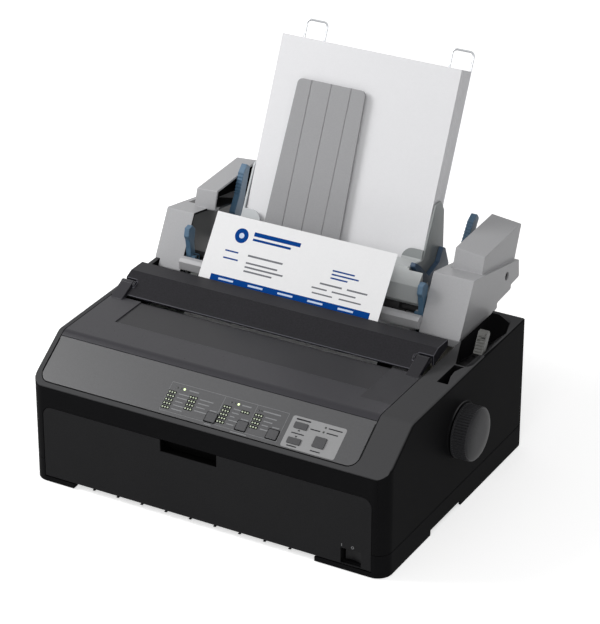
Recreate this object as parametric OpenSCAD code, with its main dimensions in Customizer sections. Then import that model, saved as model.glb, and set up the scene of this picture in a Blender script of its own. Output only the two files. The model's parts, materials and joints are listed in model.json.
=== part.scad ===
// Desktop dot matrix printer with a single-bin cut-sheet feeder.
// Millimetres, +Z up. The front faces -Y and +X is to the right seen from the front.
// Sizes below are measured from the middle of the casing's width, its front face and the desk.

/* [Casing] */
// Width of the casing
body_w = 414; // [406:1:426]
// Depth of the casing
body_d = 314; // [308:1:326]
// Height of the front lip, where the sloping panel starts
lip_h = 113; // [109:1:117]
// Height of the casing top behind the sloping panel
top_h = 150.5; // [148:0.5:153]
// Rise of the casing top from the panel to the back
top_rise = 3; // [0:0.5:4]
// Depth that the sloping panel takes up, front to back
panel_d = 57; // [53:1:61]
// Wall thickness of the mouldings
wall = 2.5; // [2.2:0.1:2.8]
// Radius of the casing's front corners, seen from above
corner_r = 16; // [12:1:16]
// Radius of the casing's back corners, seen from above
back_corner_r = 6; // [4:1:9]
// Height of the seam between lower and upper case
seam_h = 27; // [25:1:29]
// Width of the rim left of the top opening
rim_w = 6.7; // [6:0.1:7.5]
// Width of the strip right of the top opening
strip_w = 36.6; // [34:0.2:38]
// Height of the back wall below the paper entry
sill_h = 108; // [100:1:112]
// Gap round the loose covers and the panel
seam_gap = 0.5; // [0.3:0.1:0.8]
// Height of the rubber feet below the case
foot_h = 1; // [0.6:0.1:1.6]
// Height of the cut-outs in the skirt at the front and the sides
skirt_h = 5.7; // [5:0.1:6.5]

/* [Covers] */
// Width of the casing left and right of the front cover
cover_side = 15.5; // [15:0.5:20]
// Height of the front cover's top edge above the desk
front_cover_top = 89.5; // [84:0.5:94]
// Corner radius of the front cover
front_cover_r = 10; // [6:1:14]
// Width of the finger pocket in the front cover
pocket_w = 66; // [50:1:80]
// Height of the finger pocket
pocket_h = 13.7; // [12:0.1:18]
// Depth of the finger pocket
pocket_d = 12; // [9:0.5:12]
// Depth of the printer cover's back edge from the front face
cover_back = 148; // [146:0.5:149]
// Width of each hinge lug of the printer cover
lug_w = 14; // [12:0.5:15]
// Depth of the window pressed into the printer cover
window_d = 1.3; // [0.8:0.1:1.5]
// Radius of the hinge pins
hinge_pin_r = 2; // [1.6:0.1:2.4]
// Radial running clearance of pins, shafts and bores
run_gap = 0.06; // [0.04:0.01:0.09]

/* [Platen and gears] */
// Depth of the platen's axis from the front face
platen_y = 160.5; // [158:0.5:163]
// Height of the platen's axis
platen_z = 93.5; // [91:0.5:95]
// Radius of the rubber platen
platen_r = 16.5; // [15.5:0.1:17]
// Room between the platen's ends and the side plates
platen_side = 8; // [5:0.5:14]
// Radius of the platen's steel shaft
shaft_r = 4; // [3:0.1:5]
// Radius of the platen knob
knob_r = 28.7; // [24:0.1:31]
// How far the knob stands out from the case
knob_reach = 24; // [20:0.5:28]
// Number of grip ribs on the knob
knob_ribs = 60; // [36:2:72]
// Module of the feed gears
gear_m = 1.5; // [1.45:0.01:1.54]
// Width of one gear rim
gear_w = 4.5; // [3.5:0.1:4.8]

/* [Buttons] */
// Height that a panel button stands out of the panel
button_proud = 1.2; // [0.8:0.1:2]
// Travel of a panel button
button_travel = 0.8; // [0.5:0.1:1]

/* [Paper] */
// Width of the paper
paper_w = 215.9; // [205:0.1:217]
// Length of the paper
paper_len = 279.4; // [270:0.1:297]
// Thickness of the stack of paper
stack_t = 24.7; // [10:0.1:26]
// Lean of the stack back from upright
stack_lean = 24.4; // [22:0.1:26]
// Thickness that the printed sheet is drawn with
sheet_t = 0.4; // [0.3:0.05:0.6]

/* [Feeder] */
// How far the feeder's left side stays inside the casing's
feeder_in_l = 2.2; // [1.8:0.1:3]
// How far the feeder's right side stays inside the casing's
feeder_in_r = 40.8; // [40:0.1:42]
// Width of the right housing
right_w = 47; // [44:1:50]
// Width of the left housing
left_w = 34; // [30:1:38]
// Radius of the pick-up rollers
pickup_r = 12; // [10:0.5:12]
// Diameter of the support wires
wire_d = 2.4; // [2:0.1:3]

/* [Hidden] */
$fn = 40;

// Casing
cx = body_w / 2;
left_edge = rim_w - cx;
right_edge = cx - strip_w;
lip_y = 1.5;
lip_r = 3;
kink_r = 11;
back_r = 7;
slope = atan2(top_h - lip_h, panel_d - lip_y);
slope_len = norm([panel_d - lip_y, top_h - lip_h]);
lip_z = lip_h + ((lip_r - lip_y) * sin(slope) - lip_r) / cos(slope);
kink_y = panel_d + kink_r * tan(slope / 2);
floor_z = foot_h + skirt_h;
deck_z = floor_z + wall;
front_wall_y = 5.4;
cover_half = cx - cover_side;
pocket_floor = front_cover_top - pocket_h;
niche_y = pocket_d + wall + 1;
panel_v0 = 5;
panel_v1 = slope_len - 7;
board_top = -wall - 7.9;
switch_top = -wall - 4.5;
stem_end = switch_top + button_travel + 0.3;
foot_r = 8;
skirt_left = -cx + 50;
skirt_right = cx - 79;
screw_spots = [for (x = [10 - cx, cx - 10], y = [40, body_d - 29]) [x, y]];

// Hinges
cover_axis = [166, top_h + 8];
lug_l = left_edge + 2.3;
lug_r = right_edge - 2.4 - lug_w;
barrel_r = 4.5;
front_axis = [wall, floor_z + wall];
front_pin_r = 1.6;
switch_x = cx - 38;
switch_w = 22.7;
switch_l = switch_x - switch_w / 2;
switch_r = switch_x + switch_w / 2;
switch_z0 = floor_z + 1.5;
switch_h = 17.7;
lever_x = cx - 9;
lever_axis = [204, 98];
recess_z = 122.5;
tension_c = [188, 153.7];

// Mechanism
plate_t = 2;
plate_l = 29 - cx;
plate_r = cx - 69;
mid = (plate_l + plate_r) / 2;
pocket_l = mid - 30;
platen_c = [platen_y, platen_z];
frame_top = 130;
plate_back = body_d - 8;
frame_feet = [80, plate_back - 10];
left_gear_x = plate_l - 2 - gear_w;
right_gear_x = plate_r + 2;
belt_y = 84;
belt_z = 61;
belt_h = 6;
pulley_r = 8;
pulley_gap = 0.3;
belt_t = 1.2;
motor_x = plate_l + 23;
idler_x = plate_r - 20;
shaft_y = 112;
shaft_z = 88;
head_shaft_r = 5;
tractor_w = 22;
tractor_c = [262, 60];
tractor_rod = [286, 60];
tractor_xs = [mid - 97 - tractor_w, mid + 97];

// Gear train
platen_teeth = 34;
idler_teeth = 32;
pickup_teeth = 28;
pinion_teeth = 12;
motor_c = [206, 50];
feed_c = meet(platen_c, pitch_r(platen_teeth) + pitch_r(idler_teeth),
              motor_c, pitch_r(idler_teeth) + pitch_r(pinion_teeth), -1);
feed_phase = meshed(platen_c, 0, platen_teeth, feed_c, idler_teeth);
pinion_phase = meshed(feed_c, feed_phase, idler_teeth, motor_c, pinion_teeth);
pickup_c = [272, 154];
gear_b_c = pickup_c + (pitch_r(pickup_teeth) + pitch_r(idler_teeth)) * [cos(-119.2), sin(-119.2)];
gear_a_c = meet(platen_c, pitch_r(platen_teeth) + pitch_r(idler_teeth),
                gear_b_c, 2 * pitch_r(idler_teeth), -1);
gear_a_phase = meshed(platen_c, 0, platen_teeth, gear_a_c, idler_teeth);
gear_b_phase = meshed(gear_a_c, gear_a_phase, idler_teeth, gear_b_c, idler_teeth);
pickup_phase = meshed(gear_b_c, gear_b_phase, idler_teeth, pickup_c, pickup_teeth);

// Feeder
stack_foot = [273.1, 125.9];
hopper_y = stack_t + 0.2;
hopper_t = 5.5;
hopper_z = 175;
wire_y = hopper_y + 2.5;
wire_w = 25;
wire_top = paper_len + 20;
feeder_l = feeder_in_l - cx;
feeder_r = cx - feeder_in_r;
left_inner = feeder_l + left_w;
right_inner = feeder_r - right_w;
cheek_x = plate_l - 1;
guide_t = 2.2;
guide_x = paper_w / 2 + 0.9;
hopper_half = guide_x - 3.85;
hood_in = guide_x - 27.85;
hood_out = guide_x + 18.65;
wire_xs = [mid - hopper_half + 10, mid + hopper_half - 24];
rail = [312, 320, 118, 126];
side_block = [[240.6, 137], [328.4, 146.7], [328, 152.8], [361.6, 154.9], [361.2, 160],
              [381.4, 161.5], [379.6, 182.3], [270, 203.5], [238.6, 147.4]];
top_block = [[296, 196], [376, 183], [391.5, 221.5], [302.6, 218], [297.6, 203]];
hood_side = [[258, 168], [262, 163], [264, 163], [265, 168.5], [284, 168.5], [296, 197], [271, 201],
             [257, 187.5]];
stacker_axis = [287.8, 169.8];
stacker_arm_r = 2.6;
stacker_w = 94;
stacker_off = -34;
stacker_foot = 49;
stacker_len = 192;
set_axis = [338, 146];
latch_axis = [256, 160];

// Panel buttons: place across and up the slope, width, depth
square_button = [11.5, 10.5];
flat_button = [15, 7];
square_xs = [mid + 22, mid + 57.3, mid + 92.4];
square_v = 16;
flat_x = mid + 116.8;
load_v = 33;
feed_v = 15.5;
pause_x = mid + 143;
pause_v = 21;

function arc(c, r, a0, a1, n) =
    [for (i = [0 : n]) c + r * [cos(a0 + (a1 - a0) * i / n), sin(a0 + (a1 - a0) * i / n)]];
function unit(v) = v / norm(v);
function wrap(a) = a > 180 ? a - 360 : a < -180 ? a + 360 : a;
function prev_of(p, i) = p[(i + len(p) - 1) % len(p)];
function next_of(p, i) = p[(i + 1) % len(p)];

// The outline p with every corner rounded to radius r, or as near as its sides allow
function soft(p, r, n = 3) = [for (i = [0 : len(p) - 1])
    let (u = unit(prev_of(p, i) - p[i]), v = unit(next_of(p, i) - p[i]),
         half = acos(max(-1, min(1, u * v))) / 2,
         t = min(r / tan(half), norm(prev_of(p, i) - p[i]) * 0.45, norm(next_of(p, i) - p[i]) * 0.45),
         c = p[i] + unit(u + v) * t / cos(half),
         s = p[i] + u * t - c, e = p[i] + v * t - c,
         a0 = atan2(s[1], s[0]), da = wrap(atan2(e[1], e[0]) - a0))
    each arc(c, norm(s), a0, a0 + da, n)];

// The outline p, listed anticlockwise, moved inwards by d
function inset(p, d) = [for (i = [0 : len(p) - 1])
    let (u = unit(p[i] - prev_of(p, i)), v = unit(next_of(p, i) - p[i]),
         a = [-u[1], u[0]], b = [-v[1], v[0]])
    p[i] + d * (a + b) / (1 + a * b)];

function box2(x0, y0, x1, y1) = [[x0, y0], [x1, y0], [x1, y1], [x0, y1]];

// Outline of the casing seen from above, d inside its outer face
function plan(d) = concat(
    arc([corner_r - cx, corner_r], corner_r - d, 180, 270, 12),
    arc([cx - corner_r, corner_r], corner_r - d, 270, 360, 12),
    arc([cx - back_corner_r, body_d - back_corner_r], max(back_corner_r - d, 0.5), 0, 90, 6),
    arc([back_corner_r - cx, body_d - back_corner_r], max(back_corner_r - d, 0.5), 90, 180, 6));

// Outline of the casing from the side, d inside its outer face, from height z0 up
function side(d, z0) = concat([[d, z0]],
    arc([lip_r, lip_z], lip_r - d, 180, 90 + slope, 6),
    arc([kink_y, top_h - kink_r], kink_r - d, 90 + slope, 90, 8),
    arc([body_d - back_r, back_top_z() - back_r], back_r - d, 90, 0, 8),
    [[body_d - d, z0]]);
function back_top_z() = top_h + top_rise;

// Gears
function pitch_r(n) = gear_m * n / 2;
function gear(n, phase) = [for (i = [0 : n - 1])
    let (a = phase + i * 360 / n, r0 = pitch_r(n) - 1.25 * gear_m, r1 = pitch_r(n) + 0.92 * gear_m,
         w0 = 0.88 * gear_m / r0 * 180 / PI, w1 = 0.27 * gear_m / r1 * 180 / PI)
    for (s = [[r0, -w0], [r1, -w1], [r1, w1], [r0, w0]])
    s[0] * [cos(a + s[1]), sin(a + s[1])]];
function heading(a, b) = atan2(b[1] - a[1], b[0] - a[0]);
// Turn of a gear of n2 teeth at c2 that meshes with one of n1 teeth at c1, itself turned by p1
function meshed(c1, p1, n1, c2, n2) =
    heading(c1, c2) + 180 - (180 - (heading(c1, c2) - p1) * n1) / n2;
// Where circles of radius ra round a and rb round b meet, on the side given by s
function meet(a, ra, b, rb, s) =
    let (d = norm(b - a), u = (b - a) / d, x = (ra * ra - rb * rb + d * d) / (2 * d))
    a + x * u + s * sqrt(ra * ra - x * x) * [-u[1], u[0]];

// Extrusions along X with the outline in (y, z), and along Y with it in (x, z)
module along_x(x0, x1) translate([x0, 0, 0]) rotate([90, 0, 90]) linear_extrude(x1 - x0) children();
module along_y(y0, y1) translate([0, y1, 0]) rotate([90, 0, 0]) linear_extrude(y1 - y0) children();
module rod_x(x0, x1, c, r) translate([x0, c[0], c[1]]) rotate([0, 90, 0]) cylinder(h = x1 - x0, r = r);
module post(x, y, z0, z1, r) translate([x, y, z0]) cylinder(h = z1 - z0, r = r);
module bar(x0, y0, z0, x1, y1, z1) translate([x0, y0, z0]) cube([x1 - x0, y1 - y0, z1 - z0]);
// Frame of the sloping panel: X across, Y up the slope, Z out of it
module on_slope() translate([0, lip_y, lip_h]) rotate([slope, 0, 0]) children();
// Frame of the paper stack: X across, Y from its front face back, Z up along the paper
module on_stack() translate([mid, stack_foot[0], stack_foot[1]]) rotate([-stack_lean, 0, 0]) children();

module casing(d, z0) intersection() {
    along_x(-cx, cx) polygon(side(d, z0));
    linear_extrude(back_top_z() + 10) polygon(plan(d));
}

module lower_case() color("#1b1b1d") {
    // Small ribs under the front edge
    for (x = [skirt_left + 23 : 29 : skirt_right - 20]) {
        bar(x, 0.3, floor_z - 1.3, x + 3, 12, floor_z - 0.5);
        bar(x, front_wall_y + 0.3, floor_z - 1.3, x + 3, 12, floor_z + 0.5);
    }
    lower_shell();
}
module lower_shell() difference() {
    union() {
        difference() {
            translate([0, 0, foot_h]) linear_extrude(seam_h - seam_gap - foot_h) polygon(plan(0));
            translate([0, 0, deck_z]) linear_extrude(seam_h) polygon(plan(wall));
            linear_extrude(floor_z) polygon(plan(wall));
        }
        // Lip inside the seam that carries the upper case
        difference() {
            translate([0, 0, seam_h - 4]) linear_extrude(4) polygon(plan(wall / 2));
            translate([0, 0, seam_h - 5]) linear_extrude(6) polygon(plan(wall));
        }
        // Thick front that holds the hinge bores, and the switch housing
        intersection() {
            linear_extrude(seam_h) polygon(plan(0));
            bar(-cx, 0, foot_h, cx, front_wall_y + wall, seam_h - seam_gap);
        }
        bar(switch_l - 2, front_wall_y, floor_z, switch_r + 2, 20, seam_h - seam_gap);
        for (s = screw_spots) post(s[0], s[1], floor_z, seam_h, 5.5);
        for (x = [plate_l + 7, plate_r - 7], y = frame_feet) post(x, y, deck_z - 0.5, 14, 5);
        for (x = [mid - 120, mid + 140], y = [130, 230]) post(x, y, deck_z - 0.5, 20, 3.5);
        for (x = [mid - 140, mid - 92], y = [body_d - 62, body_d - 28]) post(x, y, deck_z - 0.5, 18, 3.5);
        // Post and pin of the release lever
        bar(lever_x - 17, lever_axis[0] - 9, deck_z - 0.5, lever_x - 7, lever_axis[0] + 9, lever_axis[1] + 7);
        rod_x(lever_x - 8, lever_x + 5.5, lever_axis, 3);
    }
    // Room for the front cover, the gap under the front edge and the notches in the skirt
    bar(-cover_half - seam_gap, -1, floor_z - 0.5, cover_half + seam_gap, front_wall_y, seam_h + 1);
    bar(skirt_left, -1, 0, skirt_right, front_wall_y + wall + 1, floor_z);
    for (x = [-cx - 1, cx - wall - 1]) bar(x, 100, 0, x + wall + 2, 168, floor_z);
    along_x(-cx - 1, cx + 1) polygon([[body_d - 8, -1], [body_d + 3, -1], [body_d + 3, floor_z + 3]]);
    for (x = [-cover_half - 3.5, cover_half - 0.5]) rod_x(x, x + 4, front_axis, front_pin_r + run_gap);
    bar(switch_l, front_wall_y - 1, switch_z0, switch_r, 17, switch_z0 + switch_h);
    post(switch_x, 12, switch_z0 - 1.5, switch_z0 + switch_h + 1.5, 1.6 + run_gap);
    for (s = screw_spots) {
        post(s[0], s[1], floor_z - 1, floor_z + 3, 3.8);
        post(s[0], s[1], floor_z, seam_h + 1, 2.2);
    }
    port_cuts();
}

// Holes in the back wall for the mains inlet and the data port
module port_cuts() {
    bar(mid - 141, body_d - wall - 1, 19, mid - 113, body_d + 1, 37);
    bar(mid + 92, body_d - wall - 1, 20, mid + 138, body_d + 1, 31);
}

function cover_outline(g) = concat([[-cover_half - g, 0], [cover_half + g, 0]],
    arc([cover_half - front_cover_r, front_cover_top - front_cover_r], front_cover_r + g, 0, 90, 8),
    arc([front_cover_r - cover_half, front_cover_top - front_cover_r], front_cover_r + g, 90, 180, 8));
// Opening in the casing top from above, g inside its edge
function opening(g) = concat(
    arc([left_edge + 12, lip_y + panel_v0 * cos(slope) + 12], 12 - g, 180, 270, 8),
    arc([right_edge - 12, lip_y + panel_v0 * cos(slope) + 12], 12 - g, 270, 360, 8),
    [[right_edge - g, body_d + 1 - g], [left_edge + g, body_d + 1 - g]]);
// Slot in front of the release lever, and the foot and the mouth of the bowl behind it, from above
lever_slot = [[lever_x - 10, 144], [lever_x + 2, 144], [lever_x - 3, 160], [lever_x - 4, 171],
              [lever_x - 1, 181], [lever_x + 4.5, 189], [lever_x - 10, 189]];
bowl_foot = [[lever_x - 10, 186], [lever_x + 2.5, 186], [lever_x + 6, 192], [lever_x + 6, 226],
             [lever_x - 2, 240], [lever_x - 10, 240]];
bowl_mouth = [[lever_x - 10, 186], [lever_x + 2.5, 186], [lever_x + 6, 192], [lever_x + 6, 272],
              [lever_x - 1, 296], [right_edge + 8, 309], [right_edge - 1, 309], [right_edge - 1, 238]];
// The bowl, with its walls d further out
module lever_bowl(d) hull() {
    translate([0, 0, recess_z - d]) linear_extrude(0.5) offset(delta = d) polygon(bowl_foot);
    translate([0, 0, back_top_z()]) linear_extrude(4) offset(delta = d) polygon(bowl_mouth);
}

module upper_case() color("#202022") difference() {
    union() {
        difference() {
            union() {
                difference() {
                    casing(0, seam_h);
                    casing(wall, seam_h - 1);
                }
                // Walls of the niche behind the front cover
                intersection() {
                    casing(0, seam_h);
                    bar(-cover_half - wall, 0, seam_h, cover_half + wall, niche_y + wall,
                        front_cover_top + seam_gap + wall);
                }
            }
            along_y(-1, niche_y) polygon(cover_outline(seam_gap));
            translate([0, 0, sill_h]) linear_extrude(top_h) polygon(opening(0));
            translate([0, 0, sill_h]) linear_extrude(top_h) polygon(lever_slot);
            // Front paper entry in the back of the niche
            bar(mid - 140, niche_y - 1, 60, mid + 140, niche_y + wall + 1, 82);
        }
        // Inner walls of the rim and the strip beside the top opening
        intersection() {
            casing(0, seam_h);
            union() {
                bar(left_edge - 2, 60, sill_h, left_edge, body_d - 1, back_top_z());
                bar(right_edge, 60, sill_h, right_edge + 2, body_d - 1, back_top_z());
                bar(lever_x - 12, 142, 120, lever_x - 10, 232, back_top_z());
            }
        }
        // Seat of the control panel, let into the wall round it
        intersection() {
            casing(1, seam_h);
            on_slope() difference() {
                bar(left_edge - 2, panel_v0 - 3, -2 * wall, right_edge + 2, panel_v1, 0.6 - wall);
                bar(left_edge + 3, panel_v0 + 3, -3 * wall, right_edge - 3, panel_v1 + 1, 0);
                translate([0, 0, -wall]) linear_extrude(wall) polygon(panel_outline(-seam_gap));
            }
        }
        // Floor of the lever's slot and the walls of its bowl
        intersection() {
            casing(1, seam_h);
            bar(lever_x - 12, 140, recess_z - wall, cx - 1, 232, recess_z);
        }
        intersection() {
            casing(0, seam_h);
            lever_bowl(wall);
            bar(right_edge, 140, sill_h, cx, body_d - 1, back_top_z() + 1);
        }
        // Collar behind the knob
        rod_x(cx - wall, cx + 1.6, platen_c, knob_r + 1.2);
        for (s = screw_spots) {
            post(s[0], s[1], seam_h, seam_h + 34, 4.6);
            bar(s[0] > 0 ? s[0] : -cx + 1, s[1] - 2, seam_h, s[0] > 0 ? cx - 1 : s[0], s[1] + 2, seam_h + 34);
        }
    }
    lever_bowl(0);
    bar(lever_x - 6, 160, recess_z - wall - 1, lever_x + 6, 240, recess_z + 1);
    rod_x(cx - wall - 1, cx + 3, platen_c, 12);
    for (s = screw_spots) post(s[0], s[1], seam_h - 1, seam_h + 22, 1.5);
    port_cuts();
}

// Plate of the control panel, d inside its edge
function panel_outline(d) = let (edge = opening(seam_gap + d), n = len(edge) - 2)
    [for (i = [0 : n + 1]) [edge[i][0], i < n ? (edge[i][1] - lip_y) / cos(slope) : panel_v1 - seam_gap - d]];
function outline_at(x, v, s, g) =
    soft(box2(x - s[0] / 2 - g, v - s[1] / 2 - g, x + s[0] / 2 + g, v + s[1] / 2 + g), 1.2 + g, 3);

// Every button's place and size, with a gap g round it
module button_holes(g) {
    for (x = square_xs) polygon(outline_at(x, square_v, square_button, g));
    polygon(outline_at(flat_x, load_v, flat_button, g));
    polygon(outline_at(flat_x, feed_v, flat_button, g));
    polygon(outline_at(pause_x, pause_v, square_button * 1.15, g));
}

module control_panel() color("#5c5c5e") on_slope() difference() {
    translate([0, 0, -wall]) linear_extrude(wall) difference() {
        polygon(panel_outline(0));
        button_holes(0.3);
    }
}

// Circuit board under the control panel, with the lamps and the switch bodies
module panel_board() color("#1f5a35") on_slope() {
    translate([0, 0, board_top - 1.6]) linear_extrude(1.6) polygon(box2(mid - 42, 8, mid + 172, 44));
    squares = [for (x = square_xs) [x, square_v]];
    for (p = concat(squares, [[flat_x, load_v], [flat_x, feed_v], [pause_x, pause_v]]))
        translate([p[0] - 3, p[1] - 3, board_top]) cube([6, 6, switch_top - board_top]);
    for (x = square_xs, k = [-1, 0, 1])
        translate([x - 20 + 3.2 * k, 38, board_top]) cylinder(h = 7.7, r = 1.4);
    for (x = [mid - 36, mid + 166]) translate([x, 12, board_top]) cylinder(h = 7.9, r = 2.5);
}

module button(x, v, s) color("#4b4b4d") on_slope() {
    translate([0, 0, stem_end]) linear_extrude(button_proud - stem_end) polygon(outline_at(x, v, s, 0));
    translate([x - s[0] / 2 - 1, v - s[1] / 2 + 1, -wall - 1.1]) cube([s[0] + 2, s[1] - 2, 1]);
}
module font_button() button(square_xs[0], square_v, square_button);
module pitch_button() button(square_xs[1], square_v, square_button);
module tear_off_button() button(square_xs[2], square_v, square_button);
module load_button() button(flat_x, load_v, flat_button);
module line_feed_button() button(flat_x, feed_v, flat_button);
module pause_button() button(pause_x, pause_v, square_button * 1.15);

module front_cover() color("#1e1e20") difference() {
    union() {
        intersection() {
            along_y(0, wall) polygon(cover_outline(0));
            bar(-cover_half, 0, front_axis[1], cover_half, wall, top_h);
        }
        // Lower edge, round about the hinge axis
        intersection() {
            rod_x(-cover_half, cover_half, front_axis, wall);
            bar(-cover_half, 0, floor_z, cover_half, wall, front_axis[1]);
        }
        // Cup of the finger pocket
        bar(pocket_l - wall, 0, pocket_floor - wall,
            pocket_l + pocket_w + wall, pocket_d + wall, front_cover_top);
        for (s = [-1, 1]) {
            rod_x(s > 0 ? cover_half - 6 : -cover_half, s > 0 ? cover_half : 6 - cover_half, front_axis, 1.8);
            rod_x(s > 0 ? cover_half - 1 : -cover_half - 3, s > 0 ? cover_half + 3 : 1 - cover_half,
                  front_axis, front_pin_r);
        }
    }
    bar(pocket_l, -1, pocket_floor, pocket_l + pocket_w, pocket_d, front_cover_top + 1);
    bar(switch_l, -1, switch_z0, switch_r, wall + 1, switch_z0 + switch_h);
}

module power_switch() color("#0f0f10") {
    along_z_outline = [[switch_x - 9, 6.4], [switch_x, 7.6], [switch_x + 9, 5.2], [switch_x + 9, 9],
                       [switch_x + 3, 14], [switch_x - 3, 14], [switch_x - 9, 10.4]];
    translate([0, 0, switch_z0 + 2]) linear_extrude(switch_h - 4) polygon(along_z_outline);
    post(switch_x, 12, switch_z0 - 1.3, switch_z0 + switch_h + 1.3, 1.6);
}

// The smoky cover over the print mechanism, with its two hinge lugs
module printer_cover() color("#4a4950") {
    l = left_edge + seam_gap;
    r = right_edge - seam_gap;
    difference() {
        intersection() {
            difference() {
                along_x(l, r) polygon(side(0, seam_h));
                along_x(l - 1, r + 1) polygon(side(wall, seam_h - 1));
            }
            bar(l, 0, lip_h, r, cover_back, back_top_z());
            on_slope() bar(l, panel_v1, -120, r, 300, 100);
        }
        // Shallow window in its top
        difference() {
            bar(left_edge + 37, 97, top_h - 2, right_edge - 35, cover_back + 1, back_top_z());
            along_x(l, r) polygon(side(window_d, seam_h));
        }
    }
    for (x = [lug_l, lug_r]) difference() {
        along_x(x, x + lug_w) union() {
            polygon([[cover_back - 8, top_h - 2], [cover_back - 1, top_h - 2.5], cover_axis - [1.5, 3.6],
                     cover_axis + [-2.6, 3.2], [cover_back - 6, top_h + 1.6]]);
            translate(cover_axis) circle(barrel_r);
        }
        rod_x(x - 1, x + lug_w + 1, cover_axis, hinge_pin_r + run_gap);
    }
}

// Removable rear cover that holds the sheet down; its pins carry the printer cover
module tension_unit() color("#2c2b30") {
    l = left_edge + 3.5;
    r = right_edge - 0.6;
    difference() {
        along_x(l, r) polygon(soft([[152, 151], [176, 151], [204.5, 160], [204.5, 167], [182, 167],
                                    [151.5, top_h + 3]], 1, 2));
        along_x(l + wall, r - wall)
            polygon([[155, 150], [176, 148], [205.5, 148], [205.5, 164.3], [202, 164.3],
                                             [183, 164.3], [156, 152.4]]);
        for (x = [lug_l, lug_r]) bar(x - 0.8, 140, 140, x + lug_w + 0.8, 172, 170);
        bar(l - 1, 140, 140, lug_l, 172, 170);
        bar(lug_r + lug_w, 140, 140, r + 1, 172, 170);
    }
    // Walls beside the lugs, with the hinge pins
    for (x = [lug_l + lug_w + 0.8, lug_r - 0.8 - wall]) {
        along_x(x, x + wall) polygon([[154, 151.5], [185, 151.5], [185, 165], [182.5, 166.5], [154, 153.8]]);
        rod_x(x, x + wall, cover_axis, barrel_r);
    }
    rod_x(lug_l + 0.5, lug_l + lug_w + 2, cover_axis, hinge_pin_r);
    rod_x(lug_r - 2, lug_r + lug_w - 0.5, cover_axis, hinge_pin_r);
    for (x = [l, r - wall]) along_x(x, x + wall) polygon([[172.5, 153], [204, 158], [204, 166], [174, 163]]);
    // Legs that stand on the side plates, with the bearings of the rollers
    for (x = [plate_l - 1, plate_r - plate_t - 1]) difference() {
        along_x(x, x + 4) polygon([[182, frame_top], [196, frame_top], [199, 165.5], [183, 165.5]]);
        rod_x(x - 1, x + 5, tension_c, 2 + run_gap);
    }
}
module tension_rollers() color("#38383a") {
    rod_x(plate_l - 1.5, plate_r + 1.5, tension_c, 2);
    for (i = [0 : 7]) rod_x(mid - 122 + i * 33.5, mid - 114 + i * 33.5, tension_c, 5);
}

module feet() color("#2a2a2a")
    for (x = [-cx + 43, cx - 43], y = [front_wall_y + wall + foot_r + 0.3, body_d - 29])
        post(x, y, 0, floor_z, foot_r);

module case_screws() color("#a8a8a8") for (s = screw_spots) {
    post(s[0], s[1], floor_z + 0.6, floor_z + 3, 3.4);
    post(s[0], s[1], floor_z + 3, seam_h + 20, 1.5);
}

module knob() color("#3b3b3c") {
    x0 = cx + 3.2;
    x1 = cx + knob_reach - 2.4;
    difference() {
        union() {
            rod_x(x0, x0 + 2, platen_c, knob_r + 0.4);
            along_x(x0 + 2, x1 - 2) translate(platen_c) polygon([for (i = [0 : knob_ribs - 1], k = [0 : 3])
                (k == 0 || k == 3 ? knob_r - 0.9 : knob_r)
                * [cos((i + [0.04, 0.2, 0.7, 0.86][k]) * 360 / knob_ribs),
                   sin((i + [0.04, 0.2, 0.7, 0.86][k]) * 360 / knob_ribs)]]);
            translate([x1 - 2, platen_y, platen_z]) rotate([0, 90, 0]) rotate_extrude($fn = 96)
                polygon([[0, 0], [knob_r - 0.9, 0], [knob_r - 1.6, 1.2], [knob_r - 3, 2], [knob_r - 8, 3.4],
                         [12, 4.2], [0, 4.4]]);
        }
        rod_x(x0 - 1, x0 + 14, platen_c, shaft_r);
    }
}

module platen() color("#161616") difference() {
    rod_x(plate_l + plate_t + platen_side, plate_r - plate_t - platen_side, platen_c, platen_r);
    rod_x(-cx, cx, platen_c, shaft_r);
}
module platen_shaft() color("#a9acb0") rod_x(left_gear_x - 3, cx + 17, platen_c, shaft_r);

module gear_on(x, c, n, phase, bore) along_x(x, x + gear_w) translate(c) difference() {
    polygon(gear(n, phase));
    circle(bore);
}
module platen_gear() color("#d9d6cc") for (x = [left_gear_x, right_gear_x])
    gear_on(x, platen_c, platen_teeth, 0, shaft_r);
module feed_gear() color("#d9d6cc") gear_on(left_gear_x, feed_c, idler_teeth, feed_phase, 3 + run_gap);
module feed_pinion() color("#c8a860") {
    along_x(left_gear_x, left_gear_x + gear_w) translate(motor_c) polygon(gear(pinion_teeth, pinion_phase));
    rod_x(left_gear_x + gear_w - 1, plate_l + 9, motor_c, 2.5);
}
module feed_motor() color("#7b7d80") difference() {
    union() {
        rod_x(plate_l + plate_t, plate_l + 26, motor_c, 21);
        rod_x(plate_l + plate_t, plate_l + 5, motor_c, 24);
    }
    rod_x(plate_l, plate_l + 10, motor_c, 2.5 + run_gap);
}
// The origin lies under the middle of the whole object
origin_x = knob_reach / 2;
origin_y = (stack_foot[0] + (wire_y + wire_d / 2) * cos(stack_lean) + wire_top * sin(stack_lean)) / 2;
module at_origin() translate([-origin_x, -origin_y, 0]) children();

module release_lever() color("#66665f") difference() {
    union() {
        along_x(lever_x - 5, lever_x + 5)
            polygon(soft([[199, 96], [209, 96], [218, 142], [234, 168.5], [231.5, 173],
                                                        [226.5, 172.5], [211, 145], [200, 106]], 1.5, 3));
        rod_x(lever_x - 6.5, lever_x + 5, lever_axis, 6.5);
        for (i = [0 : 7]) along_x(lever_x - 4, lever_x + 4) translate([213.6 + 1.55 * i, 149 + 2.75 * i])
            rotate(60) square([1.3, 1.6], center = true);
    }
    rod_x(lever_x - 8, lever_x + 6, lever_axis, 3 + run_gap);
}

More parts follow.
